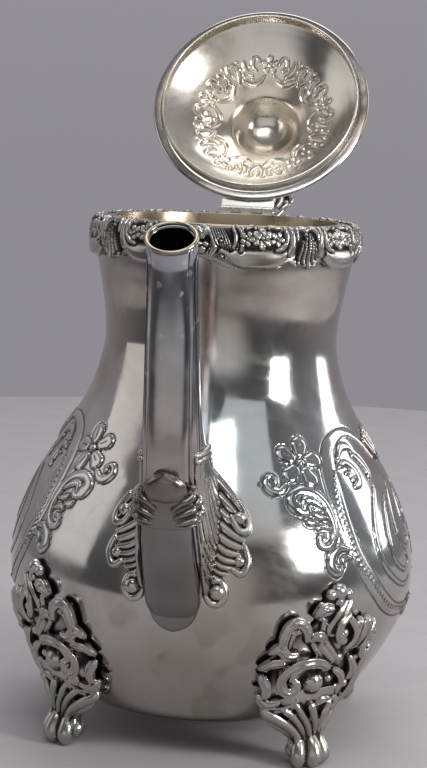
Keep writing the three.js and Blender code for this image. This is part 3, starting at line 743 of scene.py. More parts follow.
def hollows(points, edges, faces, rounds=14, scale=0.35):
    """How deep each point lies below its surroundings, from 0 to 1."""
    normals = point_normals(points, faces)
    smoothed = points
    for _ in range(rounds):
        smoothed = neighbour_mean(smoothed, edges)
    depth = ((smoothed - points) * normals).sum(-1)
    return np.clip(depth / scale, 0, 1)


def point_normals(points, faces):
    """Each point's normal, from the faces round it."""
    corners = np.array([[f[0], f[1], f[2], f[-1]] for f in faces])
    a = points[corners[:, 2]] - points[corners[:, 0]]
    b = points[corners[:, 3]] - points[corners[:, 1]]
    normal = np.cross(a, b)
    normal[np.linalg.norm(normal, axis=1) < 1e-12] = (0, 0, 1e-9)
    total = np.zeros_like(points)
    for k in range(4):
        for axis in range(3):
            total[:, axis] += np.bincount(corners[:, k], normal[:, axis], len(points))
    return unit(total)


# ---------------------------------------------------------------- feet

# Each stroke is rows of (sideways, height, lift, radius) on the vessel's skin; sideways is positive away
# from the spout.
LEAF_STROKES = [
    [(-3.4, 59.2, 1.6, 1.4), (-7, 59.6, 2.2, 2.0), (-9, 57.6, 1.6, 1.4)],
    [(4.8, 60.8, 1.4, 1.0), (2.2, 57.4, 2.0, 1.0), (-0.4, 54, 2.0, 0.9), (-2, 50, 1.6, 0.8)],
    [(2.8, 61.2, 1.4, 0.9), (0, 58, 2.0, 1.0), (-2.6, 54.6, 2.0, 0.9), (-4, 50.4, 1.6, 0.8)],
    [(-5.6, 55.6, 1.2, 1.0), (-5.4, 51, 1.2, 1.0), (-3.6, 46, 1.2, 0.9)],
    [
        (4, 56.6, 2.2, 1.0), (0.6, 54.2, 2.6, 1.2), (-0.2, 51, 2.8, 1.2), (1.6, 48.4, 2.6, 1.1),
        (4.4, 47.6, 2.2, 0.9),
    ],
    [(4.8, 55.2, 1.8, 0.9), (8, 51.4, 2.2, 1.1), (8.4, 47.4, 2.2, 1.1), (6, 44.6, 2, 0.9)],
    [(9, 44, 1.6, 0.8), (8.6, 49, 2.2, 1.2), (10, 53.6, 1.6, 1.5)],
    [(10, 44.4, 1.8, 0.8), (11.6, 49, 2.4, 1.2), (13.6, 53.6, 1.6, 1.5)],
    [(11, 44.4, 1.8, 0.8), (14, 48.6, 2.4, 1.2), (17, 52.4, 1.4, 1.4)],
    [(12, 44, 1.6, 0.8), (16, 46.6, 2.2, 1.1), (19, 48.8, 1.2, 1.3)],
    [
        (19.4, 45.4, 1.4, 1.1), (16, 46.8, 2.4, 1.2), (13.2, 45.2, 2.8, 1.2), (13, 42.6, 2.8, 1.2),
        (16, 41, 2.4, 1.3), (19.2, 41.6, 1.4, 1.3),
    ],
    [
        (-18.4, 44, 1.4, 1.2), (-20, 49, 1.8, 1.4), (-19.2, 54, 2.0, 1.5), (-16, 56, 2.2, 1.5),
        (-12.8, 53.6, 2.4, 1.4), (-11, 49.4, 2.0, 1.2),
    ],
    [(-17, 46.6, 1.2, 0.8), (-16.8, 51.6, 1.6, 1.0), (-14.4, 52.6, 1.8, 0.8)],
    [(-10.6, 49.4, 1.8, 1.2), (-8, 51.2, 2.6, 1.5), (-4.8, 48.8, 2.0, 1.2)],
    [(-9.4, 49, 1.4, 0.9), (-5.6, 44.4, 2.0, 0.9), (0, 39.8, 2.2, 0.7)],
    [(-7.4, 49.6, 1.6, 0.9), (-3.6, 45, 2.2, 0.9), (1.6, 40.6, 2.2, 0.7)],
    [(-5.4, 49.6, 1.6, 0.9), (-1.6, 45.6, 2.0, 0.9), (3.2, 41.2, 2.0, 0.7)],
    [(-22.4, 45, 1.0, 1.4), (-20.4, 46.8, 1.6, 1.6), (-17.4, 44.6, 2.4, 1.4), (-14, 44.6, 2.6, 1.0)],
    [(-24, 39, 0.9, 1.3), (-21.6, 41.4, 1.8, 1.5), (-18, 42.2, 2.6, 1.2)],
    [
        (0.4, 38.6, 2.6, 1.0), (-4, 41.2, 3.2, 1.4), (-8.4, 42.4, 3.6, 1.6), (-13, 41.8, 3.6, 1.6),
        (-16.2, 39.4, 3.4, 1.6), (-17, 36.2, 3.4, 1.5), (-15.4, 33.2, 3.6, 1.4), (-12.6, 32.2, 3.8, 1.3),
        (-10.8, 33.6, 4.0, 1.2), (-11.6, 35.6, 4.0, 1.0),
    ],
    [(-22.6, 35.4, 0.9, 1.3), (-20.4, 33, 1.8, 1.5), (-19.6, 29.8, 2.0, 1.3)],
    [(-21, 28.6, 0.8, 1.2), (-18, 27, 1.8, 1.4), (-14.4, 28, 2.4, 1.1)],
    [(-17, 23.4, 1.2, 1.2), (-13, 24.6, 2.4, 1.4), (-9.4, 26, 3.0, 1.2), (-8.6, 28.6, 3.0, 1.0)],
    [(8, 26.6, 2.6, 1.0), (2, 24.6, 3.4, 1.2), (-4, 22.8, 3.6, 1.2), (-9, 21.2, 3.0, 1.0)],
    [(-1.6, 25.6, 3.2, 1.1), (2, 27.6, 3.2, 1.2), (5.6, 26.4, 3.0, 1.0)],
    [(18.6, 38.6, 1.2, 1.3), (16.6, 33.6, 1.6, 1.4), (14.6, 28.6, 1.6, 1.3), (11.6, 24, 2.0, 1.2)],
    [(9.6, 40.6, 2.2, 1.0), (11.6, 37, 2.8, 1.3), (11, 33.6, 2.8, 1.1)],
    [(3.6, 37.4, 2.6, 0.9), (6.4, 35.6, 3.0, 1.2), (8.2, 32.4, 2.8, 1.0), (7.6, 28.8, 2.4, 0.8)],
    [(-9.6, 39.4, 2.4, 0.8), (-12.6, 37.6, 2.8, 1.1), (-12.8, 35.4, 3.0, 0.9)],
]
LEAF_BALLS = [  # (sideways, height, lift, radius)
    (0, 64.4, 1.4, 3.1), (-3.2, 63.4, 1.2, 2.2), (3.8, 63.2, 1.2, 2.3), (0, 61.2, 1.8, 2.0),
    (3, 50.4, 2.6, 1.9), (15.4, 41.6, 2.6, 1.9), (19, 42.6, 1.4, 1.6), (-3.8, 33.4, 2.4, 4.1),
    (-11.4, 33.8, 4.0, 1.9), (-1, 28.6, 3.0, 1.6), (2, 30.2, 2.8, 1.3), (8.4, 23.4, 2.6, 1.6),
    (4, 41.4, 2.4, 1.8), (13, 36.2, 2.4, 2.2), (7, 30.6, 2.6, 1.5), (11, 30.8, 2.4, 1.6),
    (16, 31, 1.4, 1.5), (12.6, 26.2, 2.0, 1.5), (2.4, 34, 2.8, 1.6), (-6.4, 28.2, 2.8, 1.4),
    (-7.6, 56.6, 2.0, 1.5), (12.6, 40.2, 2.6, 1.1),
]
LEG_LEVELS = [  # (height, distance from the vessel's axis, half depth, half width, sideways shift)
    (4, 60, 3.6, 5.2, 0), (8, 59.6, 3.8, 5.2, 0), (11.6, 58.8, 3.7, 4.9, -0.4),
    (15.6, 59.2, 4.2, 6.6, -1.4), (20, 61, 4.6, 10, -2.2), (25, 63.2, 4.4, 12.4, -1.4),
    (29, 64.6, 3.6, 12.4, 0),
]
# Rows of (sideways, distance from the vessel's axis, height, radius).
LEG_STROKES = [
    [
        (-17, 61.6, 22.6, 1.5), (-17.4, 62, 20.2, 1.9), (-13.6, 63, 18, 2.0), (-9, 63.4, 14.8, 1.8),
        (-5.4, 63, 11, 1.7), (-5, 63, 8, 1.8),
    ],
    [
        (-15.4, 61, 17.8, 1.4), (-13.4, 61.4, 16, 1.8), (-9.4, 61.8, 13.4, 1.7), (-6, 61.4, 10.4, 1.6),
        (-6.6, 62, 7.4, 1.6),
    ],
    [
        (10.6, 63, 22.4, 1.7), (8, 64, 18.4, 1.8), (5.4, 63.6, 14, 1.7), (4.2, 63, 11, 1.6),
        (4.8, 63.4, 8, 1.8),
    ],
    [(9.6, 61.8, 18, 1.4), (7, 62.4, 14.8, 1.6), (5.4, 61.6, 11, 1.5), (6.4, 62, 7.6, 1.6)],
    [
        (-12.6, 65.6, 21.4, 1.1), (-9.4, 65.6, 19.2, 1.4), (-5.8, 64.8, 15.4, 1.3),
        (-3.2, 63.6, 11.6, 1.2), (-2.8, 63.8, 9.4, 1.1),
    ],
    [
        (-8.8, 67.4, 23, 1.0), (-7, 67, 20.6, 1.3), (-3, 65.4, 15.4, 1.3), (-1.2, 64.2, 11.6, 1.2),
        (-0.9, 64.2, 9.4, 1.1),
    ],
    [
        (-3.6, 68, 22.8, 1.6), (-2.2, 67.4, 20, 1.5), (0.2, 65.4, 15, 1.3), (1.0, 64, 11.6, 1.1),
        (1.0, 64.2, 9.4, 1.1),
    ],
    [
        (5, 67, 23, 1.2), (3.4, 66.6, 19.6, 1.4), (2.6, 65, 15, 1.2), (2.8, 63.6, 11.6, 1.1),
        (2.8, 63.8, 9.4, 1.1),
    ],
    [(6.6, 66.4, 24.6, 1.2), (8.4, 66, 22.8, 1.5), (7.4, 65.4, 20.4, 1.2)],
    [(-2.6, 60.6, 10.6, 2.2), (-4.4, 63, 7.8, 2.5), (-5.2, 64.2, 4.4, 2.9), (-5.0, 64.0, 2.6, 2.9)],
    [(0, 61.4, 10.8, 2.2), (0, 64.8, 8.2, 2.6), (0, 66, 4.6, 3.2), (0, 65.6, 2.8, 3.2)],
    [(2.6, 60.6, 10.6, 2.2), (4.4, 63, 7.8, 2.5), (5.2, 64.2, 4.4, 2.9), (5.0, 64.0, 2.6, 2.9)],
    [(-3, 58.6, 4.6, 3.4), (0, 57.6, 4.0, 3.8), (3, 58.6, 4.6, 3.4)],
]
LEAF_HALF_WIDTHS = [
    (20, 9), (24, 15), (28, 18), (34, 19.5), (40, 19), (46, 19), (50, 15.5), (53, 10), (56, 7.5),
    (60, 6.5), (64, 4),
]


def foot_skin(sideways, height, lift):
    """A point of the leaf on the vessel, in the frame of a foot that faces -Y."""
    height = np.asarray(height, float)
    r = vessel_radius(height)
    bulge = 2.2 * bump_of(height - 27, 6) + 2.0 * np.clip((24 - height) / 6, 0, 1)
    return on_vessel(np.degrees(np.asarray(sideways) / r), height, lift + bulge)


def cast_foot():
    """One foot as points and faces, facing -Y; its big scroll is on the -X side."""
    foot = Casting()
    profile = spline([(w, z) for z, w in LEAF_HALF_WIDTHS], 4)
    across = np.linspace(-1, 1, 41)
    side = profile[:, :1] * across
    z = profile[:, 1:] + 0 * across
    foot.plate(foot_skin(side, z, 0.3), foot_skin(side, z, 0.9 + 1.1 * np.sqrt(1 - across**2)))
    foot.loft(LEG_LEVELS)
    for rows in LEAF_STROKES:
        path = spline(rows, 8)
        lift, radius = path[:, 2] * 1.12 + 0.4, path[:, 3] * 1.14
        foot.stroke(foot_skin(path[:, 0], path[:, 1], lift), radius)
        beside = unit(np.gradient(path[:, :2], axis=0))[:, ::-1] * (-1, 1) * radius[:, None]
        for share, rise in ((-0.75, 0.6), (0, 0.92), (0.75, 0.6)):  # three veins make each stroke a leaf
            x, z = (path[:, :2] + share * beside).T
            foot.stroke(foot_skin(x, z, lift + rise * radius), 0.16 + 0.22 * radius, sides=8)
    for sideways, height, lift, radius in LEAF_BALLS:
        foot.ball(foot_skin(sideways, height, lift), radius)
    for rows in LEG_STROKES:
        sideways, out, height, radius = spline(rows, 8).T
        foot.stroke(about_axis(out, sideways / out, height), radius, sides=14)
    points, edges, faces = foot.fused("foot_blank", voxel=0.34, smooth=2)
    points[:, 2] = np.maximum(points[:, 2], 0)
    points = clear_of_vessel(points, 0.25)
    skin = foot_skin(0 * points[:, 0], points[:, 2], 0)
    above = np.linalg.norm(points[:, :2], axis=1) - np.linalg.norm(skin[:, :2], axis=1)
    # The ground between the leaves is blackened; the leg has none.
    ground = 0.9 * np.clip((2.0 - above) / 0.8, 0, 1) * np.clip((points[:, 2] - 24) / 3, 0, 1)
    return points, faces, np.maximum(hollows(points, edges, faces, 24, 0.22), ground)


FEET = [("front_right", 45, 1), ("front_left", -45, -1), ("rear_right", 135, -1), ("rear_left", 225, 1)]


def build_feet():
    """Four castings from one pattern and its mirror image, each with the CAD node that it stands for."""
    points, faces, dark = cast_foot()
    feet = []
    for name, angle, mirror in FEET:
        turn = np.array(Matrix.Rotation(math.radians(angle), 3, "Z"))
        placed_points = (points * (mirror, 1, 1)) @ turn.T
        made_faces = faces if mirror > 0 else [f[::-1] for f in faces]
        feet.append((new_object("scroll_foot_" + name, placed_points, made_faces, dark=dark), "foot_" + name))
    return feet


# ---------------------------------------------------------------- spout root: drop, clasp and wings

ROOT_AXIS_Y = -50.0


class SpoutRoot:
    """The skin of the spout and the vessel together, reached by rays from an upright line inside them."""

    def __init__(self, *objects):
        points, faces, count = [], [], 0
        for obj in objects:
            p, _, f = mesh_arrays(obj.data)
            points.append(p)
            faces += [[i + count for i in face] for face in f]
            count += len(p)
        self.tree = BVHTree.FromPolygons(np.concatenate(points).tolist(), faces)

    def at(self, angle, z, lift=0.0):
        """The point at that angle round the root's axis and that height, lifted along the skin's normal."""
        angle, z, lift = (np.atleast_1d(v) for v in np.broadcast_arrays(angle, z, lift))
        flat = []
        for a, h, up in zip(angle.ravel(), z.ravel(), lift.ravel()):
            way = Vector((math.sin(math.radians(a)), -math.cos(math.radians(a)), 0))
            start = Vector((0, ROOT_AXIS_Y, float(h))) + way * 90
            hit, normal, _, _ = self.tree.ray_cast(start, -way)
            if hit is None:
                hit, normal = Vector((0, ROOT_AXIS_Y, float(h))) + way * 30, way
            if normal.dot(way) < 0:
                normal = -normal
            flat.append(hit + normal * float(up))
        return np.array(flat).reshape(angle.shape + (3,))


def build_drop(root):
    """The plain tongue below the clasp, with a rounded foot."""
    z_rows = np.concatenate([np.linspace(51.2, 58, 22), np.linspace(58.6, 98, 60)])
    foot = np.sqrt(np.clip(1 - ((z_rows - 62.5) / 11.3) ** 2, 0, 1))
    half = np.where(z_rows < 62.5, 10.4 * foot, np.interp(z_rows, [62.5, 74, 84, 96], [10.4, 9.2, 8.3, 7.8]))
    across = np.linspace(-1, 1, 61)
    y = np.interp(z_rows, [51, 60, 80, 98], [-75, -78, -88, -94])
    angle = np.degrees(np.arctan2(half[:, None] * across, -(y[:, None] - ROOT_AXIS_Y)))
    z = z_rows[:, None] + 0 * across
    edge = np.clip((1 - abs(across)) * np.maximum(half[:, None], 0.5) / 1.3, 0, 1)
    end = np.clip((z_rows[:, None] - 51.2) / 1.4, 0, 1)
    lift = 0.35 + 1.25 * np.sqrt(np.minimum(edge, end)) + 0.5 * (1 - across**2)
    skin = root.at(angle, z)
    skin = relaxed_grid(skin, 6)
    out = grid_normals(skin)
    drop = Casting()
    drop.plate(skin + out * 0.25, skin + out * lift[..., None])
    return normals_out(new_object("spout_tongue", drop.points[0], drop.faces))


def relaxed_grid(p, rounds):
    """A grid of points smoothed inside its edge."""
    for _ in range(rounds):
        q = p.copy()
        q[1:-1, 1:-1] = (p[:-2, 1:-1] + p[2:, 1:-1] + p[1:-1, :-2] + p[1:-1, 2:]) / 4
        p = q
    return p


def grid_normals(p):
    """Normals of a grid of points, turned to face the front."""
    along, across = np.gradient(p, axis=0), np.gradient(p, axis=1)
    normal = unit(np.cross(across, along))
    return -normal if normal[..., 1].mean() >= 0 else normal


CLASP_HALF_WIDTHS = [
    (9.2, 91.6), (10.2, 93), (10.2, 95.4), (8.9, 98), (6.8, 100.4), (5.7, 102), (5.6, 104), (5.1, 106.2),
    (3.7, 108.2), (0.8, 109.5),
]
CLASP_STROKES = [  # rows of (sideways, z, lift, radius), each made on both sides
    [
        (0, 109.2, 1.0, 0.6), (2.8, 108.5, 0.9, 0.6), (5.0, 106, 0.8, 0.6), (5.7, 103.2, 0.7, 0.55),
        (5.5, 101, 0.7, 0.45),
    ],
    [
        (2.6, 97.6, 1.9, 0.5), (4.6, 99.8, 1.7, 0.9), (6.6, 101.4, 1.3, 1.3), (7.6, 103.4, 0.9, 1.4),
        (6.9, 105, 0.8, 0.9),
    ],
    [
        (3.2, 95.2, 1.9, 0.5), (5.8, 96.8, 1.8, 1.0), (8.2, 98.4, 1.3, 1.4), (9.6, 100.2, 0.8, 1.5),
        (9.2, 101.6, 0.7, 0.9),
    ],
    [
        (4, 93, 1.8, 0.5), (6.8, 94, 1.7, 1.1), (9, 95.2, 1.3, 1.5), (10.8, 96.6, 0.8, 1.6),
        (10.6, 98.2, 0.7, 1.0),
    ],
    [(0, 91.7, 1.3, 0.7), (4, 91.8, 1.3, 0.7), (8, 92.3, 1.1, 0.7), (10.2, 93.4, 0.8, 0.8)],
]
CLASP_MIDDLE_Y = -94.0


def build_clasp(root):
    """A shell cartouche: one smooth crowned shield with a rolled top and three leaf curls down each side."""
    clasp = Casting()

    def at(x, z, lift):
        return root.at(np.degrees(np.arctan2(x, ROOT_AXIS_Y - CLASP_MIDDLE_Y)), z, np.asarray(lift) + 1.3)

    profile = spline(CLASP_HALF_WIDTHS, 5)
    across = np.linspace(-1, 1, 61)
    x = profile[:, :1] * across
    z = profile[:, 1:] + 0 * across
    crease = 0.4 * bump_of(z - 100.4 - 2 * across**2, 0.5) * (1 - across**2)
    rolled_top = 1.3 * np.clip((z - 99) / 4, 0, 1) * np.clip((110.5 - z) / 3, 0, 1)
    crown = (1.5 + rolled_top) * np.sqrt(1 - across**2)
    clasp.plate(at(x, z, -0.9), at(x, z, 0.5 + crown - crease))
    for side in (-1, 1):
        for rows in CLASP_STROKES:
            path = spline(rows, 8)
            clasp.stroke(at(side * path[:, 0], path[:, 1], path[:, 2]), path[:, 3], sides=16)
    points, edges, faces = clasp.fused("clasp_blank", voxel=0.25, smooth=2)
    dark = hollows(points, edges, faces, 14, 0.16)
    return new_object("spout_shell_clasp", points, faces, dark=dark)


WING_GUIDES = [  # the first, the middle and the last flute, from the collar to the tip, as (angle, z)
    [(11.2, 113.6), (11.6, 104), (12.8, 94), (14.8, 84), (17.6, 74), (20.6, 66.8), (24, 62.6)],
    [(15, 113.6), (15.2, 107), (16, 100), (18, 92.6), (22, 85.4), (29, 79.6), (38, 76), (47, 75.2)],
    [(19, 113.8), (22.4, 109.6), (31, 108.4), (42, 106.8), (52, 102.6), (58, 96.6), (58.6, 90)],
]
WING_FLUTES = 13
WING_CURLS = [
    [
        (24.6, 64, 0.9, 1.0), (28.6, 61.8, 1.0, 1.3), (34, 61.8, 1.0, 1.5), (37.6, 65.2, 1.2, 1.5),
        (35.6, 68.8, 1.4, 1.2), (31, 69.2, 1.6, 0.9),
    ],
    [
        (59.6, 94.4, 0.9, 1.1), (60.2, 89, 1.0, 1.4), (57, 85, 1.1, 1.5), (51.6, 85.4, 1.3, 1.2),
        (49.6, 89.4, 1.6, 0.9),
    ],
    [(52.6, 80.4, 0.9, 1.1), (52.8, 75.6, 1.0, 1.3), (48.2, 71.6, 1.1, 1.4), (43.6, 72.8, 1.4, 1.1)],
]
WING_BALLS = [(32.8, 65.4, 1.2, 2.8), (55, 88.8, 1.1, 2.5), (48, 75.4, 0.9, 2.0)]


def wing_place(across, along):
    """Angle and height on the wing: across runs over the flutes, along from the collar to their tips."""
    scallops = 0.035 * abs(np.sin(np.pi * WING_FLUTES * across)) + 0.04 * abs(np.sin(3 * np.pi * across))
    reach = along * (0.94 + scallops)
    shares = ((1 - across) * (1 - 2 * across), 4 * across * (1 - across), across * (2 * across - 1))
    angle, z = 0.0, 0.0
    for guide, share in zip(WING_GUIDES, shares):
        path = resampled(spline(guide, 10), 60)
        index = reach * (len(path) - 1)
        angle = angle + share * np.interp(index, np.arange(len(path)), path[:, 0])
        z = z + share * np.interp(index, np.arange(len(path)), path[:, 1])
    return angle, z


def build_wing(root, side):
    """A fluted fan beside the clasp with a curled scroll at each of its three tips."""
    wing = Casting()

    def at(angle, z, lift):
        return root.at(side * np.asarray(angle), z, lift)

    across, along = np.meshgrid(np.linspace(0, 1, 286), np.linspace(0, 1, 90))
    angle, z = wing_place(across, along)
    flute = abs(np.sin(np.pi * WING_FLUTES * across)) ** 0.8
    wing.plate(at(angle, z, 0.25), at(angle, z, 0.8 + 1.1 * np.clip(2.2 * along - 0.25, 0, 1) * flute))
    edge_angle, edge_z = wing_place(np.ones(40), np.linspace(0, 1, 40))
    wing.stroke(at(edge_angle, edge_z, 0.7), np.full(40, 0.75))
    for rows in WING_CURLS:
        path = spline(rows, 8)
        wing.stroke(at(path[:, 0], path[:, 1], path[:, 2]), path[:, 3])
    for ball_angle, ball_z, lift, radius in WING_BALLS:
        centre = at(ball_angle, ball_z, lift)[0]
        wing.ball(centre, radius, flat=0.75, outwards=centre * (1, 1, 0))
    for ring_z in (112.6, 114.6):  # the collar's two rings
        wing.stroke(at(np.linspace(11, 20.5, 24), ring_z, 0.8), np.full(24, 0.95))
    points, edges, faces = wing.fused("wing_blank", voxel=0.26, smooth=1)
    points = clear_of_vessel(points, 0.15)
    dark = hollows(points, edges, faces, 14, 0.15)
    name = "spout_wing_casting_" + ("right" if side > 0 else "left")
    return new_object(name, points, faces, dark=dark)


# ---------------------------------------------------------------- handle

HANDLE_ROUTE = spline(
    [
        (0, 44, 160), (0, 52, 164.5), (0, 60, 172.5), (0, 69, 179.8), (0, 80, 184), (0, 93, 183.5),
        (0, 106, 177), (0, 115.5, 164.5), (0, 119.5, 148), (0, 118, 129), (0, 111.5, 112), (0, 101, 98.5),
        (0, 88.5, 90), (0, 76, 86), (0, 64, 84),
    ],
    20,
)
HANDLE_ROUTE = resampled(HANDLE_ROUTE, 600)
UPPER_JOINT, LOWER_JOINT = 0.2, 0.835
DISC_HALF = 0.008


def handle_stretch(name, start, stop, shape, rings=120, sides=72):
    """A closed length of the handle; shape(t, turn) gives half width, half depth and relief."""
    t = np.linspace(start, stop, rings)
    index = t * (len(HANDLE_ROUTE) - 1)
    samples = np.arange(len(HANDLE_ROUTE))
    centre = np.stack([np.interp(index, samples, HANDLE_ROUTE[:, k]) for k in range(3)], -1)
    along = unit(np.gradient(centre, axis=0))
    out = np.stack([np.zeros(rings), -along[:, 2], along[:, 1]], -1)
    turn = np.linspace(0, 2 * np.pi, sides, endpoint=False)
    width, depth, relief = shape(t[:, None], turn[None])
    x = (width + relief) * np.cos(turn)
    o = (depth + relief) * np.sin(turn)
    points = centre[:, None] + out[:, None] * o[..., None]
    points[..., 0] = x
    caps = [points[0].mean(0), points[-1].mean(0)]
    flat = np.vstack([points.reshape(-1, 3), caps])
    faces = grid_faces(rings, sides, wrap_cols=True).tolist()
    for k in range(sides):
        nxt = (k + 1) % sides
        faces.append([nxt, k, len(flat) - 2])
        faces.append([(rings - 1) * sides + k, (rings - 1) * sides + nxt, len(flat) - 1])
    shade = np.clip(-relief * 3, 0, 1) + 0 * x
    shade = np.concatenate([shade.ravel(), [0, 0]])
    return normals_out(new_object(name, clear_of_vessel(flat, 0.25), faces, dark=shade))


def from_outside(turn):
    """The turn measured from the handle's outer side, from -pi to pi."""
    return np.arctan2(np.sin(turn - np.pi / 2), np.cos(turn - np.pi / 2))


def grip_shape(t, turn):
    """The grip: a leaf at each end, a low ridge between them and a bead against each insulator."""
    s = np.sin(np.pi * t) ** 2
    width, depth = 5.6 + 1.6 * s, 4.6 + 0.6 * s
    u = (t - UPPER_JOINT) / (LOWER_JOINT - UPPER_JOINT)
    ends = bump_of(u, 0.018) + bump_of(u - 1, 0.018)
    upper = acanthus(u / 0.36, turn)
    lower = acanthus((1 - u) / 0.3, turn)
    middle = np.clip((u - 0.3) / 0.1, 0, 1) * np.clip((0.75 - u) / 0.1, 0, 1)
    ridge = 0.35 * bump_of(from_outside(turn), 0.18) * middle
    return width + 0 * turn, depth + 0 * turn, upper + lower + ridge + 0.9 * ends


def acanthus(s, turn):
    """A leaf that lies along the handle's outer side, from its root at s = 0 to its tip at s = 1."""
    out = abs(from_outside(turn))
    lobes = 1 + 0.18 * np.cos(2 * np.pi * s * 3.5)
    half = 1.9 * np.clip(1 - s, 0, 1) ** 0.55 * lobes
    q = np.where(half > 0.02, out / np.maximum(half, 0.02), 2)
    body = np.clip((1 - q) * 5, 0, 1) * (s > -0.02) * (s < 1)
    veins = 0.16 * np.cos(22 * (out * 0.9 - 0.35 * s * 3)) * np.clip(q * 2, 0, 1)
    mid = 0.45 * bump_of(out, 0.09)
    edge = -0.3 * bump_of((q - 1.06) * half, 0.06) * (s > 0) * (s < 1)
    return body * (0.75 + veins + mid) + edge


def socket_shape(joint_at, foot_at, foot_width, foot_depth):
    """A socket that swells to its foot on the vessel and ends in a moulded collar at the insulator."""

    def shape(t, turn):
        u = np.clip((t - joint_at) / (foot_at - joint_at), 0, 1)
        s = np.sin(np.pi * t) ** 2
        width = (5.6 + 1.6 * s) * (1 - u**2) + foot_width * u**2
        depth = (4.6 + 0.6 * s) * (1 - u**2) + foot_depth * u**2
        collar = 0.9 * bump_of(u, 0.05) + 0.55 * bump_of(u - 0.14, 0.035) - 0.3 * bump_of(u - 0.09, 0.02)
        leaf = acanthus((1 - u) / 0.75, turn) * 0.9
        return width + 0 * turn, depth + 0 * turn, collar + leaf

    return shape


def insulator_shape(joint):
    """A bone disc that stands a little proud of the handle."""

    def shape(t, turn):
        s = np.sin(np.pi * t) ** 2
        q = (t - joint) / DISC_HALF
        swell = 0.7 * np.sqrt(np.clip(1 - 0.85 * q**2, 0, 1)) - 0.25
        return 5.6 + 1.6 * s + 0.2 + 0 * turn, 4.6 + 0.6 * s + 0.2 + 0 * turn, swell + 0 * turn

    return shape


def build_handle():
    """The handle's five lengths, each with the CAD node that it stands for."""
    gap = DISC_HALF + 0.0004
    upper, lower = UPPER_JOINT, LOWER_JOINT
    upper_socket = socket_shape(upper, 0.02, 9.6, 8.4)
    lower_socket = socket_shape(lower, 0.99, 9.4, 9.2)
    bow = handle_stretch("handle_bow", upper + gap, lower - gap, grip_shape, 340, 96)
    top = handle_stretch("handle_upper_socket", upper - gap, 0.0, upper_socket, 110, 96)
    bottom = handle_stretch("handle_lower_socket", lower + gap, 1.0, lower_socket, 110, 96)
    made = [(bow, "handle_grip"), (top, "handle_socket_upper"), (bottom, "handle_socket_lower")]
    for place, joint in (("upper", upper), ("lower", lower)):
        shape = insulator_shape(joint)
        disc = handle_stretch("insulator_ring_" + place, joint - DISC_HALF, joint + DISC_HALF, shape, 16)
        made.append((disc, "insulator_" + place))
    return made


def build_thumb_leaf():
    """A cupped shell for the thumb: ribs fan out over a thin scoop, and its edge rolls forwards."""
    leaf = Casting()
    spine = spline([(85, 181.5), (89, 186.2), (93.4, 189), (96.4, 191.4), (97.4, 193.6)], 8)
    half = np.interp(np.linspace(0, 1, len(spine)), [0, 0.25, 0.5, 0.8, 1], [4.6, 9, 11.4, 11.8, 10.8])
    curl = np.interp(np.linspace(0, 1, len(spine)), [0, 0.4, 1], [0.2, 1.2, 3.2])
    across = np.linspace(-1, 1, 41)
    x = half[:, None] * across
    scallop = 0.8 * np.cos(across * np.pi * 3.5) * (np.linspace(0, 1, len(spine)) ** 4)[:, None]
    y = spine[:, :1] - curl[:, None] * across**2
    z = spine[:, 1:] - 0.6 * across**2 * np.linspace(0, 1, len(spine))[:, None] + scallop
    skin = np.stack([x, y, z], -1)
    rib = 0.35 * np.cos(across * np.pi * 7) * np.ones_like(x)
    out = np.array([0, 0.55, -0.83])
    leaf.plate(skin + out * 0.5, skin - out * (0.45 + rib[..., None]))
    rim = skin[-1]
    leaf.stroke(rim, np.full(len(rim), 0.85))
    for side in (-1, 1):
        curl_end = [(10.4, 94, 192), (11.2, 92.6, 190), (10, 92, 188.4), (8.8, 92.8, 189.4)]
        leaf.stroke(spline(curl_end, 8) * (side, 1, 1), np.full(25, 0.9))
    leaf.stroke(np.array([(0, 84, 183.5), (0, 88, 186.0), (0, 92, 188.4)]), np.array([2.2, 2.0, 1.2]))
    points, edges, faces = leaf.fused("thumb_blank", voxel=0.3, smooth=2)
    return new_object("thumb_shell", points, faces, dark=hollows(points, edges, faces, 14, 0.22))


# ---------------------------------------------------------------- lid, built closed and then opened

HINGE_Y, HINGE_Z = 46.7, 187.6
SEAT_Z = 186.5
DOME = spline(
    [
        (40.8, 0.9), (38.8, 1.5), (36.5, 3.3), (33.5, 5.8), (29.7, 8.6), (25, 11.3), (20.4, 13.5),
        (16.4, 15.2), (13.4, 16.8), (11.6, 18.9), (10, 21.2), (8, 23.6), (5, 25.5), (2, 26.1),
        (0.35, 26.2),
    ],
    8,
)


def on_dome(angle, radius, lift=0.0):
    """A point of the closed dome's skin, by its angle and its distance from the axis."""
    radii, heights = DOME[np.argsort(DOME[:, 0])].T
    angle, radius = np.broadcast_arrays(np.radians(angle), np.asarray(radius, float))
    slope = change(radius, radii, heights) / 0.6
    size = np.sqrt(1 + slope**2)
    z = SEAT_Z + np.interp(radius, radii, heights) + lift / size
    return about_axis(radius - lift * slope / size, angle, z)


WREATH_REPEAT = 72.0
WREATH_STROKES = [  # (rows of (angle from the flower, distance from the axis, half width), height)
    ([(8.6, 25.2, 0.5), (11, 27.2, 0.9), (15, 27, 1.0), (16.6, 24.4, 0.9), (14, 23, 0.7)], 0.5),
    ([(5, 20.8, 0.5), (10, 18.8, 0.8), (17, 18, 0.9), (24, 18.6, 0.9), (30, 20.6, 0.6)], 0.4),
    ([(19, 21.4, 0.6), (22.4, 22.4, 1.1), (24.6, 24.6, 1.2), (23.4, 26.8, 0.8)], 0.5),
    ([(36, 20.4, 0.8), (32.6, 22.4, 1.0), (31.4, 25, 1.0), (33.6, 27.4, 0.8), (36, 27, 0.7)], 0.5),
]
WREATH_BERRIES = [(18.6, 24.6, 0.8), (28, 24.8, 0.9), (27.4, 22.2, 0.7), (19.6, 19.8, 0.6), (29, 27.6, 0.7)]


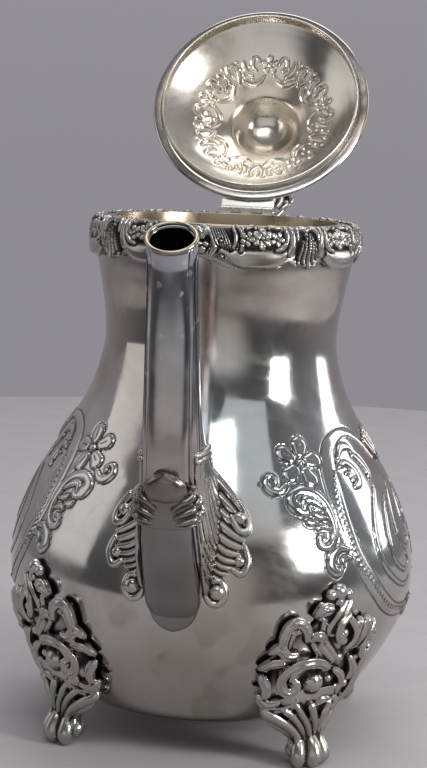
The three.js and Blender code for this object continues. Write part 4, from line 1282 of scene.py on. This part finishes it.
def wreath_relief(relief):
    """Half a repeat of the wreath: scrolls, leaves and berries, and a five-petalled flower."""
    for rows, height in WREATH_STROKES:
        relief.pillow(*placed(on_dome, rows), height, groove=0.12, line=0.3)
    for angle, radius, size in WREATH_BERRIES:
        relief.spot(on_dome, angle, radius, size, 0.5, groove=0.1, line=0.25)
    for k in range(5):
        turn = 2 * math.pi * k / 5 + math.pi / 2
        rows = []
        for away, width in ((1.1, 0.9), (2.4, 1.3)):
            rows.append((math.degrees(away * math.cos(turn) / 24), 24.6 + away * math.sin(turn), width))
        relief.pillow(*placed(on_dome, rows), 0.6, groove=0.12, line=0.26, cup=0.2)
    relief.spot(on_dome, 0, 24.6, 1.0, 0.8, groove=0.15, line=0.2)


def build_dome():
    """The lid's thin shell, with the wreath pressed through it, and a painted warm glow round its inside."""
    sheet, cols = 0.75, 720
    outline = resampled(DOME, 150)
    angles = np.linspace(0, 360, cols, endpoint=False)
    a, r = np.meshgrid(angles, outline[:, 0])
    folded = abs((a + WREATH_REPEAT / 2) % WREATH_REPEAT - WREATH_REPEAT / 2)
    plain = turned_points(outline, angles)
    one_repeat = about_axis(r, np.radians(folded), plain[..., 2])
    busy = ((outline[:, 0] > 17) & (outline[:, 0] < 31.5))[:, None] & (a > -1)
    relief = Relief(one_repeat[busy])
    wreath_relief(relief)
    height, dark = np.zeros(a.shape), np.zeros(a.shape)
    height[busy], dark[busy] = relief.height, relief.dark
    out = outline_normals(outline)
    outer = plain + turned_points(out, angles, centre=False) * (sheet + height)[..., None]
    inner = plain + turned_points(out, angles, centre=False) * height[..., None]
    apex = np.array([[0, 0, SEAT_Z + outline[-1, 1] + sheet], [0, 0, SEAT_Z + outline[-1, 1]]])
    points = np.vstack([outer.reshape(-1, 3), inner.reshape(-1, 3), apex])
    n = a.size
    faces = grid_faces(*a.shape, wrap_cols=True).tolist()
    faces += grid_faces(*a.shape, wrap_cols=True, flip=True, start=n).tolist()
    for k in range(cols):
        nxt = (k + 1) % cols
        faces.append([k, k + n, nxt + n, nxt])
        faces.append([n - cols + k, n - cols + nxt, 2 * n])
        faces.append([2 * n - cols + nxt, 2 * n - cols + k, 2 * n + 1])
    shade = np.concatenate([dark.ravel(), 0.6 * dark.ravel(), [0, 0]])
    # A warm glow is painted round the inside of the lid. It is strongest between the hollow and the wreath
    # and faint in the hollow.
    from_axis = np.hypot(inner[..., 0], inner[..., 1])
    inside = (np.clip((30 - from_axis) / 9, 0, 1) * np.clip((from_axis - 8) / 6, 0.15, 1)).ravel()
    gilt = np.concatenate([0 * inside, inside, [0, 0.15]])
    return normals_out(new_object("lid_bowl", points, faces, dark=shade, gilt=gilt))


def turned_points(outline, angles, centre=True):
    """An outline turned about the axis, from the lid's seat, or from nothing for directions."""
    return about_axis(outline[:, :1], np.radians(angles), outline[:, 1:2] + (SEAT_Z if centre else 0))


def outline_normals(outline):
    """Directions that point up and outwards from an outline that runs from its rim to its top."""
    along = unit(np.gradient(outline, axis=0))
    return np.stack([along[:, 1], -along[:, 0]], -1)


LID_EDGE = [
    (39.5, 0.0), (42.0, 0.0), (42.6, 0.5), (42.6, 1.2), (42.0, 1.9), (41.2, 1.9), (40.9, 0.75),
    (39.5, 0.7),
]
LID_BEZEL = [(37.9, -3.6), (38.5, -3.6), (38.8, -3.1), (38.8, 0.95), (37.9, 0.95)]
FINIAL_COLLAR = [
    (0.05, 26.9), (5.6, 26.2), (6.3, 26.9), (6.2, 27.7), (5.0, 28.2), (4.2, 28.6), (4.4, 29.3),
    (3.6, 29.9), (2.6, 30.6), (2.3, 31.6), (3.1, 32.0), (3.1, 32.5), (2.3, 32.9), (0.05, 32.9),
]


def lid_ring(name, outline, radius=0.3):
    """A ring of the closed lid; heights are from its seat."""
    raised = [(r, z + SEAT_Z) for r, z in outline]
    return turned(name, rounded(raised, radius, 5), 360)


BUD_OUTLINE = [
    (0.1, 0), (2.6, 0.1), (4.6, 1.6), (6.0, 4.4), (6.1, 6.8), (4.9, 9.6), (3.2, 11.8), (1.6, 13.4),
    (0.1, 14.6),
]


def build_bud():
    """A closed flower bud: eight lapped petals twist up to a point."""
    rows, cols = 90, 160
    t = np.linspace(0, 1, rows)[:, None]
    turn = np.linspace(0, 2 * np.pi, cols, endpoint=False)[None]
    shape = resampled(spline(BUD_OUTLINE, 12), rows)
    petals = abs(np.sin(4 * (turn + 0.9 * t))) ** 0.5
    lift = (petals - 0.75) * 0.95 * np.sin(np.pi * np.clip(t, 0, 1)) ** 0.7
    ribs = 0.1 * np.cos(32 * (turn + 0.9 * t)) * np.sin(np.pi * t)
    r = shape[:, :1] + (lift + ribs) * np.clip(shape[:, :1] / 3, 0, 1)
    points = about_axis(r, turn, shape[:, 1:] + SEAT_Z + 32.6).reshape(-1, 3)
    faces = grid_faces(rows, cols, wrap_cols=True).tolist()
    faces += [list(range(cols)), list(range((rows - 1) * cols, rows * cols))]
    dark = np.clip(1 - petals * 2.2, 0, 1) * np.clip(shape[:, :1] / 3, 0, 1)
    return normals_out(new_object("finial_flower_bud", points, faces, dark=dark.ravel()))


def opened(obj):
    """Turns a piece that was made closed to the lid's resting place."""
    hinge = Vector((0, (HINGE_Y + AXIS_Y) * MM, HINGE_Z * MM))
    swing = Matrix.Rotation(-LID_OPEN, 4, "X")
    obj.data.transform(Matrix.Translation(hinge) @ swing @ Matrix.Translation(-hinge))
    obj.data.update()
    return obj


# ---------------------------------------------------------------- materials


class Nodes:
    """Short calls for building the node tree of a material or a world."""

    def __init__(self, owner, coordinates="Object"):
        owner.use_nodes = True
        self.owner, self.tree = owner, owner.node_tree
        self.tree.nodes.clear()
        self.coordinates = self.add("ShaderNodeTexCoord").outputs[coordinates]

    def add(self, kind, **settings):
        node = self.tree.nodes.new(kind)
        for key, value in settings.items():
            setattr(node, key, value)
        return node

    def join(self, source, target):
        self.tree.links.new(source, target)

    def noise(self, scale, detail=3.0, rough=0.55, stretch=None, warp=0.0):
        node = self.add("ShaderNodeTexNoise")
        node.inputs["Scale"].default_value = scale
        node.inputs["Detail"].default_value = detail
        node.inputs["Roughness"].default_value = rough
        node.inputs["Distortion"].default_value = warp
        source = self.coordinates
        if stretch:
            mapping = self.add("ShaderNodeMapping")
            mapping.inputs["Scale"].default_value = stretch[:3]
            mapping.inputs["Rotation"].default_value = stretch[3:]
            self.join(source, mapping.inputs["Vector"])
            source = mapping.outputs["Vector"]
        self.join(source, node.inputs["Vector"])
        return node.outputs["Fac"]

    def span(self, value, low, high, to_low=0.0, to_high=1.0, kind="LINEAR"):
        node = self.add("ShaderNodeMapRange", interpolation_type=kind)
        self.join(value, node.inputs["Value"])
        for key, number in (("From Min", low), ("From Max", high), ("To Min", to_low), ("To Max", to_high)):
            node.inputs[key].default_value = number
        return node.outputs["Result"]

    def maths(self, operation, a, b=0.0):
        node = self.add("ShaderNodeMath", operation=operation)
        for socket, value in zip(node.inputs, (a, b)):
            if isinstance(value, (int, float)):
                socket.default_value = value
            else:
                self.join(value, socket)
        return node.outputs["Value"]

    def mix(self, factor, a, b):
        node = self.add("ShaderNodeMix", data_type="RGBA")
        self.join(factor, node.inputs["Factor"])
        for socket, value in ((node.inputs[6], a), (node.inputs[7], b)):
            if isinstance(value, tuple):
                socket.default_value = (*value, 1)
            else:
                self.join(value, socket)
        return node.outputs[2]

    def axis(self, name):
        split = self.add("ShaderNodeSeparateXYZ")
        self.join(self.coordinates, split.inputs[0])
        return split.outputs[name]

    def attribute(self, name):
        return self.add("ShaderNodeAttribute", attribute_name=name).outputs["Fac"]

    def bump(self, height, strength, distance, after=None):
        node = self.add("ShaderNodeBump")
        node.inputs["Strength"].default_value = strength
        node.inputs["Distance"].default_value = distance
        self.join(height, node.inputs["Height"])
        if after:
            self.join(after, node.inputs["Normal"])
        return node.outputs["Normal"]

    def surface(self, colour, roughness, metallic, normal=None):
        shader = self.add("ShaderNodeBsdfPrincipled")
        out = self.add("ShaderNodeOutputMaterial")
        self.join(colour, shader.inputs["Base Color"])
        self.join(roughness, shader.inputs["Roughness"])
        shader.inputs["Metallic"].default_value = metallic
        if normal:
            self.join(normal, shader.inputs["Normal"])
        self.join(shader.outputs[0], out.inputs["Surface"])
        return self.owner


def silver(name, clean, warm, cool, tarnish, roughness, spots=0.0, blacking=0.9, pits=0.0):
    """Silver plate with drifting tarnish tints, fine scratches, blackened hollows and any painted warm glow a
    piece carries.
    """
    n = Nodes(bpy.data.materials.new(name))
    drift = n.noise(14, 4, 0.6, warp=0.6)
    colour = n.mix(n.span(drift, 0.42, 0.68, 0, tarnish), clean, warm)
    veil = n.noise(9, 3, 0.5, stretch=(1, 1, 0.6, 0.3, 0.2, 0.1))
    colour = n.mix(n.span(veil, 0.5, 0.72, 0, tarnish * 0.8), colour, cool)
    cloud = n.noise(55, 5, 0.65)
    colour = n.mix(n.span(cloud, 0.55, 0.8, 0, tarnish * 0.45), colour, tuple(c * 0.72 for c in warm))
    if spots:
        drops = n.noise(64, 2, 0.45, stretch=(1, 1, 0.6, 0.2, 0.1, 0))
        low = n.span(n.axis("Z"), 0.075, 0.045)
        colour = n.mix(n.span(low, 0, 1, 0, 0.45), colour, (0.50, 0.435, 0.385))
        stain = n.maths("MULTIPLY", n.span(drops, 0.55, 0.6, 0, spots), low)
        colour = n.mix(stain, colour, (0.33, 0.31, 0.26))
    # A painted warm glow, where a piece carries one, lightens and warms the colour.
    colour = n.mix(n.span(n.attribute("gilt"), 0, 1, 0, 0.6), colour, (0.84, 0.74, 0.60))
    if pits:
        speck = n.span(n.noise(210, 2, 0.5), 0.6, 0.65)
        speck = n.maths("MULTIPLY", speck, n.span(n.noise(34, 2, 0.5), 0.5, 0.6, 0, pits))
        colour = n.mix(speck, colour, (0.86, 0.84, 0.8))
    dark = n.attribute("dark")
    shade = n.span(dark, 0.12, 0.75, 0, blacking)
    colour = n.mix(shade, colour, (0.025, 0.023, 0.022))
    smudge = n.noise(30, 5, 0.62, warp=0.8)
    rough = n.span(smudge, 0.4, 0.72, roughness, roughness + 0.2)
    rough = n.maths("ADD", rough, n.span(dark, 0.1, 0.8, 0, 0.35))
    if pits:
        rough = n.maths("ADD", rough, n.span(speck, 0, 1, 0, 0.3))
    scratches = n.noise(420, 3, 0.7, stretch=(1, 0.06, 0.12, 0.3, 0.5, 0.2))
    across = n.noise(300, 2, 0.6, stretch=(0.07, 1, 0.3, 0.9, 0.1, 0.7))
    normal = n.bump(scratches, 0.09, 0.00006)
    normal = n.bump(across, 0.09, 0.00006, normal)
    planish = n.noise(60, 2, 0.5)
    normal = n.bump(planish, 0.1, 0.0004, normal)
    return n.surface(colour, rough, 1.0, normal)


def bone(name):
    """Yellowed bone with a fine grain."""
    n = Nodes(bpy.data.materials.new(name))
    grain = n.noise(160, 4, 0.6, stretch=(1, 0.25, 1, 0, 0, 0))
    colour = n.mix(n.span(grain, 0.35, 0.7), (0.80, 0.72, 0.55), (0.62, 0.50, 0.32))
    stain = n.noise(45, 3, 0.5)
    colour = n.mix(n.span(stain, 0.55, 0.8, 0, 0.5), colour, (0.45, 0.33, 0.19))
    rough = n.span(grain, 0.3, 0.7, 0.28, 0.45)
    return n.surface(colour, rough, 0.0, n.bump(grain, 0.15, 0.0001))


# Each takes its clean, warm and cool colours, how much it is tarnished, and its roughness.
POLISHED = silver(
    "polished_silver_plate", (0.60, 0.59, 0.57), (0.42, 0.33, 0.26), (0.33, 0.405, 0.45), 0.9, 0.09, spots=0.6
)
CAST = silver(
    "blackened_cast_silver", (0.48, 0.465, 0.445), (0.37, 0.31, 0.26), (0.33, 0.35, 0.37), 0.5, 0.19,
    blacking=0.97,
)
WARM = silver(
    "warm_silver_plate", (0.74, 0.712, 0.665), (0.62, 0.54, 0.43), (0.56, 0.55, 0.53), 0.6, 0.17, blacking=0.5
)
# A darker copy of the silver for the spout's tongue and clasp: its low clean colour is painted shade,
# standing in for the dark reflections on them; its drifting tints are tarnish.
SHADE_DARKENED_SILVER = silver(
    "shade_darkened_silver_plate", (0.27, 0.255, 0.25), (0.2, 0.16, 0.13), (0.2, 0.22, 0.24), 0.8, 0.14
)
PITTED = silver(
    "pitted_silver_plate", (0.57, 0.555, 0.55), (0.38, 0.29, 0.26), (0.31, 0.35, 0.42), 1.0, 0.1, pits=0.85
)
MOUTH = silver(
    "stained_mouth_silver", (0.42, 0.36, 0.27), (0.28, 0.22, 0.15), (0.32, 0.29, 0.25), 0.7, 0.2
)
PLAIN = silver("drawn_hinge_silver", (0.74, 0.72, 0.69), (0.56, 0.49, 0.41), (0.54, 0.56, 0.57), 0.4, 0.18)
BONE = bone("aged_bone")


def coat(obj, material):
    obj.data.materials.clear()
    obj.data.materials.append(material)


def finish_piece(obj, material, body, *nodes):
    """Gives a piece its material and its body, and hides the CAD nodes it stands for."""
    coat(obj, material)
    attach(obj, body)
    if nodes:
        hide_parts(*nodes)


# ---------------------------------------------------------------- assembly

vessel = build_vessel()
spout = build_spout()
finish_piece(spout, PITTED, "pot", "spout_shell")
finish_piece(build_border(), CAST, "pot", "rim_border")
MOUTH_OUTLINE = [(40.2, 170), (41.6, 170), (41.6, 185.7), (41.2, 186.2), (40.2, 186.2)]
finish_piece(turned("mouth_collar", rounded(MOUTH_OUTLINE, 0.25), 360), MOUTH, "pot", "mouth_ring")
BASE_OUTLINE = [(0.2, 12.9), (42.7, 12.9), (42.7, 13.9), (0.2, 13.9)]
finish_piece(turned("base_plate", rounded(BASE_OUTLINE, 0.2), 200), POLISHED, "pot", "base_disc")
finish_piece(build_lip(), MOUTH, "pot", "spout_lip")
root = SpoutRoot(vessel, spout)
finish_piece(pierced(vessel), POLISHED, "pot", "body_shell")
# The tongue and the clasp take the darker silver, whose low colour is painted shade.
finish_piece(build_drop(root), SHADE_DARKENED_SILVER, "pot", "spout_drop")
finish_piece(build_clasp(root), SHADE_DARKENED_SILVER, "pot", "spout_clasp")
for side, name in ((1, "right"), (-1, "left")):
    finish_piece(build_wing(root, side), CAST, "pot", "spout_wing_" + name)
for foot, node in build_feet():
    finish_piece(foot, CAST, "pot", node)
for piece, node in build_handle():
    finish_piece(piece, BONE if node.startswith("insulator") else POLISHED, "pot", node)
finish_piece(build_thumb_leaf(), CAST, "pot", "thumb_leaf")

finish_piece(opened(build_dome()), WARM, "lid", "lid_dome")
finish_piece(opened(lid_ring("lid_edge_moulding", LID_EDGE, 0.35)), POLISHED, "lid", "lid_edge")
finish_piece(opened(lid_ring("lid_inner_bezel", LID_BEZEL, 0.25)), WARM, "lid", "lid_bezel")
finish_piece(opened(lid_ring("finial_moulding", FINIAL_COLLAR, 0.3)), CAST, "lid", "finial_collar")
finish_piece(opened(build_bud()), CAST, "lid", "finial_bud")
for node, obj in frame["nodes"].items():  # these CAD nodes show as they are
    if node.startswith("hinge_"):
        coat(obj, PLAIN)
    if node.startswith("insulator_pin"):
        coat(obj, POLISHED)

# ---------------------------------------------------------------- floor, light and camera


def stage_material(name, colour, roughness):
    n = Nodes(bpy.data.materials.new(name))
    speckle = n.noise(40, 5, 0.6)
    tint = n.mix(n.span(speckle, 0.3, 0.7), colour, tuple(c * 0.93 for c in colour))
    rough = n.span(speckle, 0.3, 0.7, roughness, roughness + 0.1)
    return n.surface(tint, rough, 0.0)


def add_floor(radius, behind, material):
    """A round table top, a little below the feet."""
    turn = np.linspace(0, 2 * np.pi, 160, endpoint=False)
    mesh = bpy.data.meshes.new("floor")
    rim = np.stack([radius * np.cos(turn), radius * np.sin(turn), 0 * turn - 0.0004], -1)
    mesh.from_pydata(rim.tolist(), [], [list(range(len(turn)))])
    floor = bpy.data.objects.new("floor", mesh)
    floor.location.y = behind
    bpy.context.scene.collection.objects.link(floor)
    mesh.materials.append(material)


add_floor(0.6, 0.24, stage_material("pale_floor", (0.45, 0.44, 0.45), 0.75))


def softbox(name, width, height, location, target, power, colour=(1, 1, 1)):
    data = bpy.data.lights.new(name, "AREA")
    data.shape, data.size, data.size_y = "RECTANGLE", width, height
    data.energy, data.color = power, colour
    obj = bpy.data.objects.new(name, data)
    bpy.context.scene.collection.objects.link(obj)
    obj.location = location
    obj.rotation_euler = (Vector(target) - Vector(location)).to_track_quat("-Z", "Y").to_euler()
    return obj


AIM = (0, 0, 0.12)
softbox("window_right", 0.3, 0.4, (1.05, -0.44, 0.46), AIM, 9, (1, 0.98, 0.96))
softbox("soft_left", 0.8, 1.0, (-1.25, -0.25, 0.55), AIM, 1.6, (1, 0.985, 0.97))
softbox("overhead", 1.1, 0.8, (0, 0.35, 1.4), AIM, 6.5)
softbox("front_high", 0.75, 0.4, (0.1, -0.95, 1.4), (0, 0.05, 0.22), 4.5)
softbox("soft_right", 0.9, 0.7, (0.62, -0.88, 1.15), AIM, 1.3)
softbox("rear_right", 0.4, 0.9, (1.1, 0.75, 0.6), AIM, 4)


def studio_world():
    """A dim room: a soft grey wall behind the pot, and a wide low glow across the room in front of it."""
    world = bpy.data.worlds.new("studio")
    bpy.context.scene.world = world
    n = Nodes(world, "Generated")
    y, z = n.axis("Y"), n.axis("Z")
    room = n.mix(n.span(y, -0.6, 0.75, kind="SMOOTHSTEP"), (0.08, 0.08, 0.083), (0.27, 0.262, 0.285))
    ahead = n.span(y, -0.72, -0.95, kind="SMOOTHSTEP")
    above = n.span(z, -0.5, -0.3, kind="SMOOTHSTEP")
    below = n.span(z, 0.42, 0.2, kind="SMOOTHSTEP")
    glow = n.maths("MULTIPLY", ahead, n.maths("MULTIPLY", above, below))
    background = n.add("ShaderNodeBackground")
    n.join(n.mix(glow, room, (0.6, 0.59, 0.58)), background.inputs["Color"])
    n.join(n.span(z, -0.1, 0.9, 1.0, 2.0, kind="SMOOTHSTEP"), background.inputs["Strength"])
    n.join(background.outputs[0], n.add("ShaderNodeOutputWorld").inputs[0])


studio_world()

CAMERA_DISTANCE = 0.720
CAMERA_HEIGHT = 0.2225
CAMERA_TURN = math.radians(9.4)  # round to the +X side of the spout
CAMERA_YAW, CAMERA_PITCH, CAMERA_ROLL = -0.0029, 0.1339, 0.0438
PICTURE_LONG_SIDE = 768
FOCAL_IN_PIXELS = 1982


def camera_at_photo_angle():
    """A camera turned about the vessel's axis, then yawed, pitched and rolled."""
    data = bpy.data.cameras.new("camera")
    camera = bpy.data.objects.new("camera", data)
    bpy.context.scene.collection.objects.link(camera)
    data.sensor_width = 36
    data.lens = FOCAL_IN_PIXELS / PICTURE_LONG_SIDE * data.sensor_width
    data.clip_start, data.clip_end = 0.01, 20
    level = math.cos(CAMERA_PITCH)
    forward = Vector((math.sin(CAMERA_YAW) * level, math.cos(CAMERA_YAW) * level, -math.sin(CAMERA_PITCH)))
    right = Vector((math.cos(CAMERA_YAW), -math.sin(CAMERA_YAW), 0))
    up = right.cross(forward)
    rolled_right = right * math.cos(CAMERA_ROLL) + up * math.sin(CAMERA_ROLL)
    rolled_up = up * math.cos(CAMERA_ROLL) - right * math.sin(CAMERA_ROLL)
    turn = Matrix.Rotation(CAMERA_TURN, 3, "Z")
    facing = turn @ Matrix((rolled_right, rolled_up, -forward)).transposed()
    place = turn @ Vector((0, -CAMERA_DISTANCE, CAMERA_HEIGHT)) + Vector((0, AXIS_Y * MM, 0))
    camera.matrix_world = Matrix.Translation(place) @ facing.to_4x4()
    bpy.context.scene.camera = camera


camera_at_photo_angle()
bpy.context.scene.view_settings.view_transform = "Standard"
